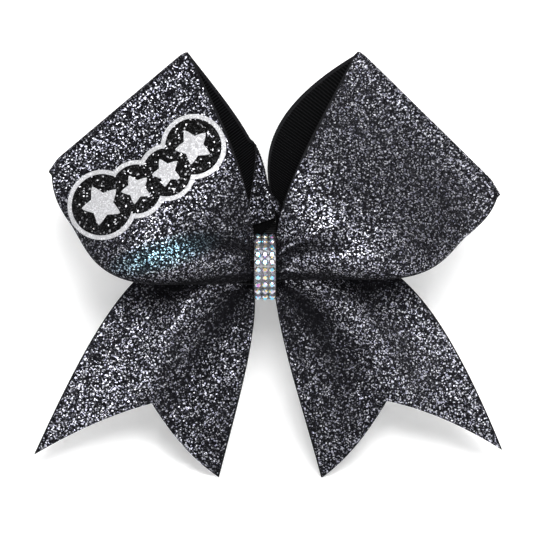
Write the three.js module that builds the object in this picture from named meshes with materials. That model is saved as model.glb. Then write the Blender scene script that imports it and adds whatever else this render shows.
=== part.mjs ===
// Cheer hair bow. Two loops and two tails of 3 inch ribbon, pinched by a cinch tie under a
// grosgrain wrap with a rhinestone band, a decal on one loop and a hair elastic at the back.
// Millimetres, +Z up, front facing -Y, origin on the flat back of the centre wrap.
import * as THREE from 'three';

// ---------------------------------------------------------------- driving dimensions
const GROSGRAIN = 0.5; // thickness of the woven backing
const FACING = 0.4; // thickness of the glitter facing bonded to it
const GAP = 0.3; // clearance kept between touching pieces
const FACING_INSET = 0.008; // share of the ribbon width left bare along each selvedge

const WRAP_WIDTH = 9.5;
const WRAP_THICK = 0.6;
const PANEL_START = WRAP_WIDTH / 2 + 0.55; // where the free ribbon comes out of the wrap

const KNOT_Y = -9.3; // depth of the knot's centre behind the stones
const KNOT_HALF_DEPTH = 8.0; // of the wrap's round front
const KNOT_HALF_HEIGHT = 12.0;
const BACK_CORNER_LOW = -8; // the wrap's flat back runs from here
const ELASTIC_RADIUS = 2;
const ELASTIC_Z = 16; // the elastic is trapped in the wrap's upper back corner
const ELASTIC_CORNER = ELASTIC_RADIUS + GAP + WRAP_THICK;

const FOLD_RADIUS = 2.5; // of the bend at a loop's outer end
const FOLD_Y = -8;
const FRONT_RUN_Y = -13.2; // depths of the three ribbon runs where they leave the wrap
const BACK_RUN_Y = -9.3;
const TAIL_RUN_Y = -5.5;
const TAIL_HANG_Y = -0.5; // depth of the free part of a tail
const TAIL_NOTCH = 37.5; // depth of the inverted V cut
const PLEAT_DEPTH = 0.45; // of the gathers beside the wrap

const STONE_RADIUS = 1.4; // 2.8 mm crystals
const STONE_HEIGHT = 1.6;
const STONE_COLUMNS = 3;
const STONE_ROWS = 10;
const STONE_PITCH_X = 2.9;
const STONE_PITCH = 3.08; // along the band
const TAPE_THICK = 0.4;

const DECAL_THICK = 0.3;
const DECAL_CENTRE = [-48.5, 32];
const DECAL_TILT = THREE.MathUtils.degToRad(29);
const STARS = [
  { at: -18.2, rise: 2.6, radius: 9.4 },
  { at: -3, rise: 1.3, radius: 7 },
  { at: 11, rise: 1.3, radius: 6.8 },
  { at: 25.4, rise: 5.2, radius: 8.4 },
];
const GROUND_MARGIN = 3; // of the dark ground round the stars
const BORDER_MARGIN = 4.8; // of the pale border round the stars

// Edges of the ribbons in front view, as cubic curves from the wrap outwards, in X and Z.
const RIGHT_LOOP = {
  side: 1,
  top: [38.2, 88.5],
  corner: [96.8, 31],
  frontTop: [[PANEL_START, 9], [4.5, 29], [20, 55]],
  frontLow: [[PANEL_START, -4.6], [40, -7], [84, -10]],
  backTop: [[PANEL_START + 0.3, 14], [5.5, 30], [-16, 55]],
  backLow: [[PANEL_START, -6], [42, 4], [80, 4]],
  roll: 0,
};
const LEFT_LOOP = {
  side: -1,
  top: [-32.0, 88.3],
  corner: [-89, 40.3],
  frontTop: [[-PANEL_START, 11], [-6, 38], [-18, 60]],
  frontLow: [[-PANEL_START, -4.6], [-40, -14], [-86, -8]],
  backTop: [[-PANEL_START - 0.3, 14], [7.4, 38], [-4.5, 54]],
  backLow: [[-PANEL_START, -7], [-42, -4], [-76, 8]],
  roll: 3.2,
};
const RIGHT_TAIL = {
  side: 1,
  outer: [[PANEL_START, 2], [46, 20], [70, -8], [97.1, -74.6]],
  inner: [[PANEL_START, -12], [6, -30], [15, -56], [23.0, -85.8]],
};
const LEFT_TAIL = {
  side: -1,
  outer: [[-PANEL_START, 2], [-44, 24], [-66, -14], [-94.4, -76.3]],
  inner: [[-PANEL_START, -12], [-3, -28], [-11, -55], [-18.8, -85.5]],
};

// ---------------------------------------------------------------- small maths
const lerp = THREE.MathUtils.lerp;

function cubic(a, b, c, d, t) {
  const r = 1 - t;
  return a * r ** 3 + 3 * b * r * r * t + 3 * c * r * t * t + d * t ** 3;
}

function cubicPoint(points, t) {
  const [a, b, c, d] = points;
  return [cubic(a[0], b[0], c[0], d[0], t), cubic(a[1], b[1], c[1], d[1], t)];
}

/** A smooth hump of height 1 at `centre`, down to 0.6 of that one `width` away. */
function hump(x, centre, width) {
  return Math.exp(-(((x - centre) / width) ** 2) / 2);
}

function smooth(x) {
  return THREE.MathUtils.smoothstep(x, 0, 1);
}

// ---------------------------------------------------------------- ribbon surfaces
// A surface is a function of u, along the ribbon, and s, across it from its upper selvedge.

/** One loop: out along the front, round the fold and back along the rear. */
function loopSurface(loop) {
  const along = [loop.corner[0] - loop.top[0], loop.corner[1] - loop.top[1]];
  const length = Math.hypot(...along);
  const outward = [(-loop.side * along[1]) / length, (loop.side * along[0]) / length];
  const inset = ([x, z]) => [x - outward[0] * FOLD_RADIUS, z - outward[1] * FOLD_RADIUS];
  const foldTop = inset(loop.top);
  const foldCorner = inset(loop.corner);
  const edges = {
    frontTop: [...loop.frontTop, foldTop],
    frontLow: [...loop.frontLow, foldCorner],
    backTop: [...loop.backTop, foldTop],
    backLow: [...loop.backLow, foldCorner],
  };

  function front(u, s) {
    const top = cubicPoint(edges.frontTop, u);
    const low = cubicPoint(edges.frontLow, u);
    const hook = Math.sin(Math.PI * u) ** 1.3; // how far the lower edge curls under
    const belly = 14 * Math.sin(Math.PI * u ** 0.8) ** 1.5;
    const rear = lerp(FRONT_RUN_Y, FOLD_Y - FOLD_RADIUS, u);
    const share = cubic(1, 2 / 3 - 0.117 * hook, 1 / 3 - 0.61 * hook, 0.1 * hook, s);
    const pleat = PLEAT_DEPTH * (1 - u) ** 3 * Math.cos(4 * Math.PI * s);
    const y = rear - belly * cubic(0.8, 0.8, 1.75, -0.2, s) + pleat;
    return new THREE.Vector3(lerp(low[0], top[0], share), y, lerp(low[1], top[1], share));
  }

  function back(u, s) {
    const top = cubicPoint(edges.backTop, u);
    const low = cubicPoint(edges.backLow, u);
    const belly = 12 * Math.sin(Math.PI * u) ** 1.5 * s * (1 - s);
    const roll = loop.roll * hump(u, 0.22, 0.12) * (1 - s) ** 6;
    const pleat = PLEAT_DEPTH * (1 - u) ** 3 * Math.cos(4 * Math.PI * s);
    const y = lerp(BACK_RUN_Y, FOLD_Y + FOLD_RADIUS, u) + belly + pleat - roll;
    return new THREE.Vector3(lerp(top[0], low[0], s), y, lerp(top[1], low[1], s));
  }

  function fold(turn, s) {
    const reach = FOLD_RADIUS * Math.sin(turn);
    const x = lerp(foldTop[0], foldCorner[0], s) + outward[0] * reach;
    const z = lerp(foldTop[1], foldCorner[1], s) + outward[1] * reach;
    return new THREE.Vector3(x, FOLD_Y - FOLD_RADIUS * Math.cos(turn), z);
  }

  const foldFrom = 0.47;
  const foldTo = 0.53;
  return (u, s) => {
    if (u <= foldFrom) return front(u / foldFrom, s);
    if (u >= foldTo) return back((1 - u) / (1 - foldTo), s);
    return fold((Math.PI * (u - foldFrom)) / (foldTo - foldFrom), s);
  };
}

/** One tail, with the inverted V cut in its end. */
function tailSurface(tail) {
  const length = 118; // of the tail along its middle, uncut
  return (u, s) => {
    const reach = u * (1 - (TAIL_NOTCH / length) * 0.62 * (1 - Math.abs(2 * s - 1)));
    const outer = cubicPoint(tail.outer, reach);
    const inner = cubicPoint(tail.inner, reach);
    const away = smooth(reach / 0.3);
    const ridge = 4.5 * away * (1 - 0.7 * reach) * hump(s, 0.45, 0.15);
    const hem = 2 * away * (1 - 0.5 * reach) * hump(s, 0.92, 0.12);
    const pleat = PLEAT_DEPTH * (1 - smooth(reach / 0.3)) * Math.cos(4 * Math.PI * s);
    const y = lerp(TAIL_RUN_Y, TAIL_HANG_Y, away) - ridge - hem + pleat;
    return new THREE.Vector3(lerp(outer[0], inner[0], s), y, lerp(outer[1], inner[1], s));
  };
}

function surfaceNormal(surface, u, s) {
  const step = 0.002;
  const margin = 0.03; // the selvedges meet the pinch at a corner with no normal of its own
  const uu = THREE.MathUtils.clamp(u, margin, 1 - margin);
  const ss = THREE.MathUtils.clamp(s, margin, 1 - margin);
  const du = surface(uu + step, ss).sub(surface(uu - step, ss));
  const ds = surface(uu, ss + step).sub(surface(uu, ss - step));
  return du.cross(ds).normalize();
}

// ---------------------------------------------------------------- solids
function closedGeometry(vertices, triangles) {
  const geometry = new THREE.BufferGeometry();
  const flat = vertices.flatMap((v) => [v.x, v.y, v.z]);
  geometry.setAttribute('position', new THREE.Float32BufferAttribute(flat, 3));
  let volume = 0;
  for (const [a, b, c] of triangles) {
    volume += vertices[a].dot(new THREE.Vector3().crossVectors(vertices[b], vertices[c]));
  }
  const outward = volume > 0 ? triangles : triangles.map(([a, b, c]) => [a, c, b]);
  geometry.setIndex(outward.flat());
  geometry.computeVertexNormals();
  return geometry;
}

/** A closed plate from two skins of (rows + 1) x (columns + 1) points each. */
function plate(rows, columns, pointAt) {
  const vertices = [];
  const wide = columns + 1;
  const skin = (rows + 1) * wide;
  for (const side of [0, 1]) {
    for (let i = 0; i <= rows; i += 1) {
      for (let j = 0; j <= columns; j += 1) vertices.push(pointAt(i / rows, j / columns, side));
    }
  }
  const triangles = [];
  const quad = (a, b, c, d) => triangles.push([a, b, c], [a, c, d]);
  for (let i = 0; i < rows; i += 1) {
    for (let j = 0; j < columns; j += 1) {
      const a = i * wide + j;
      quad(a, a + 1, a + wide + 1, a + wide);
      quad(skin + a, skin + a + wide, skin + a + wide + 1, skin + a + 1);
    }
  }
  const wall = (a, b) => quad(a, a + skin, b + skin, b);
  for (let j = 0; j < columns; j += 1) {
    wall(j, j + 1);
    wall(rows * wide + j + 1, rows * wide + j);
  }
  for (let i = 0; i < rows; i += 1) {
    wall((i + 1) * wide, i * wide);
    wall(i * wide + columns, (i + 1) * wide + columns);
  }
  return closedGeometry(vertices, triangles);
}

/** A thin sheet lying between two heights above a surface, measured along its normal. */
function sheet(surface, rows, columns, low, high, inset = 0) {
  return plate(rows, columns, (u, s, side) => {
    const across = THREE.MathUtils.clamp(s, inset, 1 - inset);
    const normal = surfaceNormal(surface, u, across);
    return surface(u, across).addScaledVector(normal, side === 0 ? low : high);
  });
}

/** A closed tube round a closed path, both given as functions of a share from 0 to 1. */
function closedTube(path, steps, sides, radius) {
  const vertices = [];
  const triangles = [];
  for (let i = 0; i < steps; i += 1) {
    const centre = path(i / steps);
    const ahead = path(((i + 0.5) / steps) % 1).sub(path((i - 0.5 + steps) / steps % 1));
    const across = new THREE.Vector3(0, -Math.sin(ELASTIC_TILT), Math.cos(ELASTIC_TILT));
    const outwards = new THREE.Vector3().crossVectors(ahead.normalize(), across);
    for (let j = 0; j < sides; j += 1) {
      const turn = (2 * Math.PI * j) / sides;
      const point = centre.clone().addScaledVector(across, radius * Math.cos(turn));
      vertices.push(point.addScaledVector(outwards, radius * Math.sin(turn)));
      const next = ((i + 1) % steps) * sides;
      const side = (j + 1) % sides;
      triangles.push([i * sides + j, i * sides + side, next + side]);
      triangles.push([i * sides + j, next + side, next + j]);
    }
  }
  return closedGeometry(vertices, triangles);
}

/** Extrudes a shape drawn in Y and Z along X, centred on the knot. */
function extrudeAcross(shape, width, curveSegments = 12) {
  const geometry = new THREE.ExtrudeGeometry(shape, {
    depth: width,
    bevelEnabled: false,
    curveSegments,
  });
  geometry.translate(0, 0, -width / 2);
  // The shape's x becomes Y, its y becomes Z and the depth becomes X.
  geometry.applyMatrix4(new THREE.Matrix4().set(0, 0, 1, 0, 1, 0, 0, 0, 0, 1, 0, 0, 0, 0, 0, 1));
  return geometry;
}

// ---------------------------------------------------------------- materials and placing
const bow = new THREE.Group();

function material(color, roughness, metalness) {
  return new THREE.MeshStandardMaterial({ color, roughness, metalness });
}

function add(name, geometry, look) {
  const mesh = new THREE.Mesh(geometry, look);
  mesh.name = name;
  bow.add(mesh);
  return mesh;
}

const blackGrosgrain = () => material(0x0c0c0f, 0.75, 0);
const charcoalGlitter = () => material(0x77777f, 0.35, 0.6);
const silverGlitter = () => material(0xe6e6ea, 0.4, 0.4);
const blackGlitter = () => material(0x1c1c20, 0.4, 0.4);
const crystal = () => material(0xe8eef8, 0.05, 0.1);
const silverTape = () => material(0xc9c9ce, 0.3, 0.9);
const blackNylon = () => material(0x101012, 0.5, 0);
const blackElastic = () => material(0x0b0b0c, 0.85, 0);

// ---------------------------------------------------------------- the ribbons
function addRibbon(name, surface, rows, columns) {
  const inner = GAP / 2;
  add(`${name}_grosgrain`, sheet(surface, rows, columns, inner, inner + GROSGRAIN), blackGrosgrain());
  const facing = sheet(surface, rows, columns, -inner - FACING, -inner, FACING_INSET);
  add(`${name}_glitter_facing`, facing, charcoalGlitter());
}

/** The same surface with its normals turned round, so that the facing lies on the other side. */
const flipped = (surface) => (u, s) => surface(u, 1 - s);

// ---------------------------------------------------------------- the knot
/** The outline of the centre wrap, drawn a distance inside its outer face. */
function wrapOutline(inset) {
  const shape = new THREE.Shape();
  const depth = KNOT_HALF_DEPTH - inset;
  const height = KNOT_HALF_HEIGHT - inset;
  const slopeStart = THREE.MathUtils.degToRad(97); // where the wrap leaves the round front
  shape.moveTo(-inset, BACK_CORNER_LOW);
  shape.bezierCurveTo(-inset, -height + 1, -3, -height, KNOT_Y, -height);
  shape.absellipse(KNOT_Y, 0, depth, height, 1.5 * Math.PI, slopeStart, true, 0);
  const corner = ELASTIC_CORNER - inset;
  const tilt = THREE.MathUtils.degToRad(140);
  shape.absarc(-ELASTIC_CORNER, ELASTIC_Z, corner, tilt, 0, true);
  const points = shape.getPoints(14);
  const apart = points.filter((p, i) => p.distanceTo(points[(i + 1) % points.length]) > 0.01);
  return new THREE.Shape(apart);
}

function addCentreWrap() {
  const ring = wrapOutline(0);
  ring.holes.push(new THREE.Path(wrapOutline(WRAP_THICK).getPoints().reverse()));
  add('centre_wrap', extrudeAcross(ring, WRAP_WIDTH), blackGrosgrain());
}

/** Point and outward angle on the round front of the knot, a distance outside the wrap. */
function bandPoint(distance, above) {
  const steps = 400;
  const depth = KNOT_HALF_DEPTH + above;
  const height = KNOT_HALF_HEIGHT + above;
  let turn = 0;
  let left = Math.abs(distance);
  while (left > 0) {
    left -= Math.hypot(depth * Math.sin(turn), height * Math.cos(turn)) * (Math.PI / steps);
    turn += Math.PI / steps;
  }
  turn *= Math.sign(distance);
  const normal = Math.atan2(Math.sin(turn) / height, Math.cos(turn) / depth);
  return { y: KNOT_Y - depth * Math.cos(turn), z: height * Math.sin(turn), normal };
}

function addBand() {
  const low = GAP;
  const high = GAP + TAPE_THICK;
  const reach = (STONE_PITCH * STONE_ROWS) / 2 - 0.2;
  const halfWidth = (STONE_COLUMNS * STONE_PITCH_X) / 2 - 0.1;
  const tape = plate(20, 1, (u, s, side) => {
    const at = bandPoint(lerp(-reach, reach, u) || 1e-6, side === 0 ? low : high);
    return new THREE.Vector3(lerp(-halfWidth, halfWidth, s), at.y, at.z);
  });
  add('stone_band_tape', tape, silverTape());
}

/** A round crystal: a shallow seat, a girdle and a cut crown with a flat table. */
function stoneGeometry() {
  const profile = [
    new THREE.Vector2(0, 0),
    new THREE.Vector2(STONE_RADIUS * 0.8, 0),
    new THREE.Vector2(STONE_RADIUS, STONE_HEIGHT * 0.35),
    new THREE.Vector2(STONE_RADIUS * 0.6, STONE_HEIGHT),
    new THREE.Vector2(0, STONE_HEIGHT),
  ];
  return new THREE.LatheGeometry(profile, 8);
}

function addStones() {
  const seat = GAP + TAPE_THICK + GAP;
  for (let row = 0; row < STONE_ROWS; row += 1) {
    const at = bandPoint((row - (STONE_ROWS - 1) / 2) * STONE_PITCH, seat);
    for (let column = 0; column < STONE_COLUMNS; column += 1) {
      const stone = add(`stone_row${row + 1}_col${column + 1}`, stoneGeometry(), crystal());
      stone.position.set((column - (STONE_COLUMNS - 1) / 2) * STONE_PITCH_X, at.y, at.z);
      stone.rotation.x = Math.PI - at.normal;
    }
  }
}

const TIE_HALF_DEPTH = 7.0;
const TIE_HALF_HEIGHT = 10.9;
const TIE_THICK = 1.0;
const TIE_WIDTH = 3.6;
const TIE_HEAD = [4.6, 2.8, 2.3];

function addCinchTie() {
  const ring = new THREE.Shape();
  ring.absellipse(KNOT_Y, 0, TIE_HALF_DEPTH, TIE_HALF_HEIGHT, 0, 2 * Math.PI, false, 0);
  const hole = new THREE.Path();
  const depth = TIE_HALF_DEPTH - TIE_THICK;
  const height = TIE_HALF_HEIGHT - TIE_THICK;
  hole.absellipse(KNOT_Y, 0, depth, height, 0, 2 * Math.PI, false, 0);
  ring.holes.push(hole);
  add('cinch_tie_strap', extrudeAcross(ring, TIE_WIDTH, 16), blackNylon());
  const head = new THREE.BoxGeometry(...TIE_HEAD);
  add('cinch_tie_head', head, blackNylon()).position.set(0, KNOT_Y + 2.9, TIE_HALF_HEIGHT + 1.2);
}

/** The part of an upright oval round the knot between two depths, as a shape in Y and Z. */
function ovalSlice(halfDepth, halfHeight, from, to) {
  const steps = 8;
  const edge = (sign, order) => order.map((i) => {
    const y = lerp(from, to, i / steps);
    const z = halfHeight * Math.sqrt(Math.max(1 - (y / halfDepth) ** 2, 0));
    return new THREE.Vector2(KNOT_Y + y, sign * z);
  });
  const forwards = Array.from({ length: steps + 1 }, (_, i) => i);
  const outline = [...edge(-1, forwards), ...edge(1, forwards.reverse())];
  const apart = outline.filter((p, i) => p.distanceTo(outline[(i + 1) % outline.length]) > 0.01);
  return new THREE.Shape(apart);
}

/** The three ribbon runs pressed flat inside the tie, as slices of one oval. */
function addPinchedRuns() {
  const halfDepth = TIE_HALF_DEPTH - TIE_THICK - GAP;
  const halfHeight = TIE_HALF_HEIGHT - TIE_THICK - GAP;
  const thick = (2 * halfDepth - 2 * GAP) / 3;
  const runs = [
    { name: 'loop_ribbon_front_pinch', look: charcoalGlitter() },
    { name: 'loop_ribbon_rear_pinch', look: blackGrosgrain() },
    { name: 'tail_ribbon_pinch', look: blackGrosgrain() },
  ];
  runs.forEach(({ name, look }, index) => {
    const from = -halfDepth + index * (thick + GAP);
    const shape = ovalSlice(halfDepth, halfHeight, from, from + thick);
    add(name, extrudeAcross(shape, WRAP_WIDTH), look);
  });
}

// ---------------------------------------------------------------- the hair elastic
const ELASTIC_TILT = 0; // above the horizontal, at rest, in radians
const ELASTIC_REACH = 30; // from its trapped run to the far end of the ring
const ELASTIC_HALF_WIDTH = 17;

/** The ring's centreline: a straight run under the wrap and a rounded bow behind it. */
function elasticPath(share) {
  const turn = 2 * Math.PI * share;
  const out = (1 - Math.cos(turn)) / 2;
  const width = Math.sin(turn) * (1 - 0.2 * Math.cos(turn));
  const flat = smooth(out / 0.16); // keeps the trapped run straight
  const reach = ELASTIC_REACH * out * flat;
  return new THREE.Vector3(
    ELASTIC_HALF_WIDTH * width,
    -ELASTIC_CORNER + reach * Math.cos(ELASTIC_TILT),
    ELASTIC_Z + reach * Math.sin(ELASTIC_TILT),
  );
}

// ---------------------------------------------------------------- the decal
/** Lays a point of the front view on the left loop, a height in front of it. */
function onFront(surface, x, z, above) {
  let u = 0.28;
  let s = 0.45;
  for (let i = 0; i < 14; i += 1) {
    const here = surface(u, s);
    const du = surface(u + 1e-3, s).sub(here);
    const ds = surface(u, s + 1e-3).sub(here);
    const dx = x - here.x;
    const dz = z - here.z;
    const size = du.x * ds.z - du.z * ds.x;
    u = THREE.MathUtils.clamp(u + (1e-3 * (dx * ds.z - dz * ds.x)) / size, 0.02, 0.469);
    s = THREE.MathUtils.clamp(s + (1e-3 * (du.x * dz - du.z * dx)) / size, 0.01, 0.985);
  }
  return surface(u, s).addScaledVector(surfaceNormal(surface, u, s), above);
}

function decalPoint(surface, along, across, above) {
  const x = DECAL_CENTRE[0] + along * Math.cos(DECAL_TILT) - across * Math.sin(DECAL_TILT);
  const z = DECAL_CENTRE[1] + along * Math.sin(DECAL_TILT) + across * Math.cos(DECAL_TILT);
  return onFront(surface, x, z, above);
}

/** Lowest and highest point of the scalloped patch, a union of discs, at a place along it. */
function scallop(along, margin) {
  const reached = STARS.filter(({ at, radius }) => Math.abs(along - at) <= radius + margin + 1e-6);
  const half = ({ at, radius }) => Math.sqrt(Math.max((radius + margin) ** 2 - (along - at) ** 2, 0.6));
  const low = Math.min(...reached.map((star) => star.rise - half(star)));
  const high = Math.max(...reached.map((star) => star.rise + half(star)));
  return [low, high];
}

function addPatch(name, surface, margin, low, look) {
  const first = STARS[0];
  const last = STARS[STARS.length - 1];
  const from = first.at - first.radius - margin;
  const to = last.at + last.radius + margin;
  const patch = plate(30, 5, (u, s, side) => {
    const along = lerp(from, to, (1 - Math.cos(Math.PI * u)) / 2);
    const [bottom, top] = scallop(along, margin);
    return decalPoint(surface, along, lerp(bottom, top, s), side === 0 ? low : low + DECAL_THICK);
  });
  add(name, patch, look);
}

function addStar(name, surface, star, low) {
  const points = 10;
  const rim = (index, above) => {
    const radius = star.radius * (index % 2 === 0 ? 1 : 0.5);
    const turn = Math.PI / 2 + (2 * Math.PI * index) / points;
    const along = star.at + radius * Math.cos(turn);
    return decalPoint(surface, along, star.rise + radius * Math.sin(turn), above);
  };
  const vertices = [];
  for (const above of [low, low + DECAL_THICK]) {
    for (let i = 0; i < points; i += 1) vertices.push(rim(i, above));
    vertices.push(decalPoint(surface, star.at, star.rise, above));
  }
  const triangles = [];
  const upper = points + 1;
  for (let i = 0; i < points; i += 1) {
    const next = (i + 1) % points;
    triangles.push([points, next, i], [upper + points, upper + i, upper + next]);
    triangles.push([i, next, upper + next], [i, upper + next, upper + i]);
  }
  add(name, closedGeometry(vertices, triangles), silverGlitter());
}

function addDecal(surface) {
  const clear = GAP / 2 + FACING + 1; // over the facing
  const layer = DECAL_THICK + 0.45;
  addPatch('decal_border', surface, BORDER_MARGIN, clear, silverGlitter());
  addPatch('decal_ground', surface, GROUND_MARGIN, clear + layer, blackGlitter());
  STARS.forEach((star, i) => addStar(`decal_star_${i + 1}`, surface, star, clear + 2 * layer));
}

// ---------------------------------------------------------------- assembly
const LOOP_ROWS = 24;
const TAIL_ROWS = 12;
const LOOP_COLUMNS = 10;
const TAIL_COLUMNS = 8;
const leftFront = loopSurface(LEFT_LOOP);

addRibbon('left_loop', flipped(leftFront), LOOP_ROWS, LOOP_COLUMNS);
addRibbon('right_loop', loopSurface(RIGHT_LOOP), LOOP_ROWS, LOOP_COLUMNS);
addRibbon('left_tail', flipped(tailSurface(LEFT_TAIL)), TAIL_ROWS, TAIL_COLUMNS);
addRibbon('right_tail', tailSurface(RIGHT_TAIL), TAIL_ROWS, TAIL_COLUMNS);
addPinchedRuns();
addCinchTie();
addCentreWrap();
addBand();
addStones();
addDecal(leftFront);
add('hair_elastic', closedTube(elasticPath, 40, 8, ELASTIC_RADIUS), blackElastic());

export default bow;
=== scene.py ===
"""Cheer hair bow: the looks of each piece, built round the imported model.

Metres in the meshes and millimetres in the sizes, +Z up, the bow's front facing -Y.
"""

import logging
import math
from dataclasses import dataclass, replace
from enum import Enum
from typing import Callable, ClassVar

import bmesh
import bpy
import numpy as np
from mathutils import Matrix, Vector


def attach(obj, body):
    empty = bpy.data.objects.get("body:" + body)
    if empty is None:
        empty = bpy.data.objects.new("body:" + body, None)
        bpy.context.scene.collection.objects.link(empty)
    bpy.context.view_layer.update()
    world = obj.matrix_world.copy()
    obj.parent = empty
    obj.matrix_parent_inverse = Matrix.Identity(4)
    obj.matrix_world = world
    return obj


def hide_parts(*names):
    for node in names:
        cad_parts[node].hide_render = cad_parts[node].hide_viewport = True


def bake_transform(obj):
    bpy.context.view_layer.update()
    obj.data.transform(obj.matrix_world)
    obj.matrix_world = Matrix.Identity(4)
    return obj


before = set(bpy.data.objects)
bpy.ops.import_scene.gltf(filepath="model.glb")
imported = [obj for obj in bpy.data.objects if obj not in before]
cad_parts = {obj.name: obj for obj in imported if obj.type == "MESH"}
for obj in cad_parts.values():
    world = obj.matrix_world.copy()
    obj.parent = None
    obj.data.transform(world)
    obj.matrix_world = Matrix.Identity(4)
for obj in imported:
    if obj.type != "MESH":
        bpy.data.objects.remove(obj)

MM = 0.001
RIBBON_WIDTH = 76.2
PLEATS = 2.5  # folds across a gathered ribbon
GATHER_REACH = 0.12  # share of a ribbon's length over which its pleats open out
REST = "rest_place"  # attribute: a point's place before it moves
PAINTED_SHADE = "flake_shine"  # attribute: the glitter's painted shade and highlight, painted shade in valleys
TINT = "stone_tint"  # attribute: a crystal's own tint
NUMBER, COLOUR, VECTOR = "NodeSocketFloat", "NodeSocketColor", "NodeSocketVector"
LOG = logging.getLogger("cheer_bow")

Array = np.ndarray
Surface = Callable[[Array, Array], Array]
Curve = list[tuple[float, float]]
Colour = tuple[float, float, float]
Sockets = dict[str | int, object]
Socket = bpy.types.NodeSocket
Piece = bpy.types.Object
Material = bpy.types.Material


class Side(Enum):
    """A side of the bow, as seen from its front."""

    LEFT = -1
    RIGHT = 1


class Weave(Enum):
    """What a ribbed cloth's pattern is laid out along."""

    UV = "uv"
    OBJECT = "object"


# ------------------------------------------------------------------ small maths
def lerp(a: Array | float, b: Array | float, t: Array | float) -> Array | float:
    """Returns the value a share t of the way from a to b."""
    return a + (b - a) * t


def cubic(a: float, b: Array | float, c: Array | float, d: Array | float, t: Array) -> Array:
    """Returns the cubic curve with control values a, b, c and d at t."""
    r = 1 - t
    return a * r**3 + 3 * b * r * r * t + 3 * c * r * t * t + d * t**3


def cubic_point(points: Curve, t: Array) -> tuple[Array, Array]:
    """Returns X and Z at t along a cubic curve drawn in front view."""
    (ax, az), (bx, bz), (cx, cz), (dx, dz) = points
    return cubic(ax, bx, cx, dx, t), cubic(az, bz, cz, dz, t)


def hump(x: Array, centre: float, width: float) -> Array:
    """Returns a smooth hump of height 1 at centre."""
    return np.exp(-(((x - centre) / width) ** 2) / 2)


def smooth(x: Array) -> Array:
    """Returns 0 below 0, 1 above 1 and a smooth rise between."""
    t = np.clip(x, 0, 1)
    return t * t * (3 - 2 * t)


def unit(vectors: Array) -> Array:
    """Returns vectors scaled to length 1."""
    return vectors / np.linalg.norm(vectors, axis=-1, keepdims=True)


# ------------------------------------------------------------------ meshes
def link(name: str, mesh: bpy.types.Mesh) -> Piece:
    """Puts a mesh in the scene as an object at the origin."""
    piece = bpy.data.objects.new(name, mesh)
    bpy.context.scene.collection.objects.link(piece)
    return piece


def make_piece(name: str, vertices: Array, faces: Array | list, uv: Array | None = None) -> Piece:
    """Makes a smooth mesh object at the origin.

    Args:
        name: the piece's name.
        vertices: its points in millimetres, one row each.
        faces: point numbers of each face.
        uv: a place on the cloth in metres for each point, if it has one.

    Returns:
        The new object, with its resting place stored in an attribute.
    """
    sharp_angle = 50
    mesh = bpy.data.meshes.new(name)
    points = np.asarray(vertices, float) * MM
    mesh.from_pydata(points.tolist(), [], [list(map(int, f)) for f in faces])
    mesh.validate()
    if uv is not None:
        layer = mesh.uv_layers.new(name="cloth")
        corner = np.empty(len(mesh.loops), dtype=np.int32)
        mesh.loops.foreach_get("vertex_index", corner)
        layer.data.foreach_set("uv", np.asarray(uv, np.float32)[corner].ravel())
    store(mesh, REST, "FLOAT_VECTOR", "vector", points)
    mesh.shade_smooth()
    mesh.set_sharp_from_angle(angle=math.radians(sharp_angle))
    return link(name, mesh)


def store(mesh: bpy.types.Mesh, name: str, kind: str, key: str, values: Array) -> None:
    """Stores a value for each point of a mesh in an attribute."""
    attribute = mesh.attributes.new(name, kind, "POINT")
    attribute.data.foreach_set(key, values.astype(np.float32).ravel())


def dress(piece: Piece, material: Material) -> Piece:
    """Gives a piece its one material, and returns it."""
    piece.data.materials.clear()
    piece.data.materials.append(material)
    return piece


def declare(piece: Piece, slot: str, *nodes: str, body: str = "bow") -> None:
    """Rides a piece on a body and hides the CAD nodes it stands for."""
    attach(piece, body)
    if nodes:
        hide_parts(*nodes)


def plate_faces(rows: int, columns: int) -> Array:
    """Lists the quads of a closed plate of two skins, lower skin first.

    Args:
        rows: cells along the plate.
        columns: cells across it.

    Returns:
        Point numbers, one row for each quad.
    """
    wide = columns + 1
    skin = (rows + 1) * wide
    i, j = np.meshgrid(np.arange(rows), np.arange(columns), indexing="ij")
    a = (i * wide + j).ravel()
    lower = np.stack([a, a + 1, a + wide + 1, a + wide], 1)
    upper = lower[:, ::-1] + skin
    i, j = np.arange(rows), np.arange(columns)
    rims = (
        (j, j + 1),
        (rows * wide + j + 1, rows * wide + j),
        ((i + 1) * wide, i * wide),
        (i * wide + columns, (i + 1) * wide + columns),
    )
    walls = [np.stack([p, p + skin, q + skin, q], 1) for p, q in rims]
    return np.concatenate([lower, upper, *walls])


def ring_faces(rows: int, columns: int) -> Array:
    """Lists the quads of a grid of points that closes both ways.

    Args:
        rows: points one way.
        columns: points the other way.

    Returns:
        Point numbers, one row for each quad.
    """
    i, j = np.meshgrid(np.arange(rows), np.arange(columns), indexing="ij")
    here, below = i * columns, (i + 1) % rows * columns
    after = (j + 1) % columns
    return np.stack([here + j, here + after, below + after, below + j], -1).reshape(-1, 4)


def face_outwards(vertices: Array, faces: Array) -> Array:
    """Returns a closed mesh's quads, turned round if they point inwards."""
    a, b, c, d = (vertices[faces[:, k]] for k in range(4))
    volume = ((a * np.cross(b, c)) + (a * np.cross(c, d))).sum()
    return faces if volume > 0 else faces[:, ::-1]


def surface_normal(surface: Surface, u: Array, s: Array) -> Array:
    """Works out a surface's unit normals, kept steady at its rim.

    Args:
        surface: a function of u, along the cloth, and s, across it.
        u: places along it.
        s: places across it.

    Returns:
        One normal for each place.
    """
    step, margin = 0.0015, 0.012
    uu, ss = np.clip(u, margin, 1 - margin), np.clip(s, margin, 1 - margin)
    du = surface(uu + step, ss) - surface(uu - step, ss)
    ds = surface(uu, ss + step) - surface(uu, ss - step)
    return unit(np.cross(du, ds))


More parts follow.
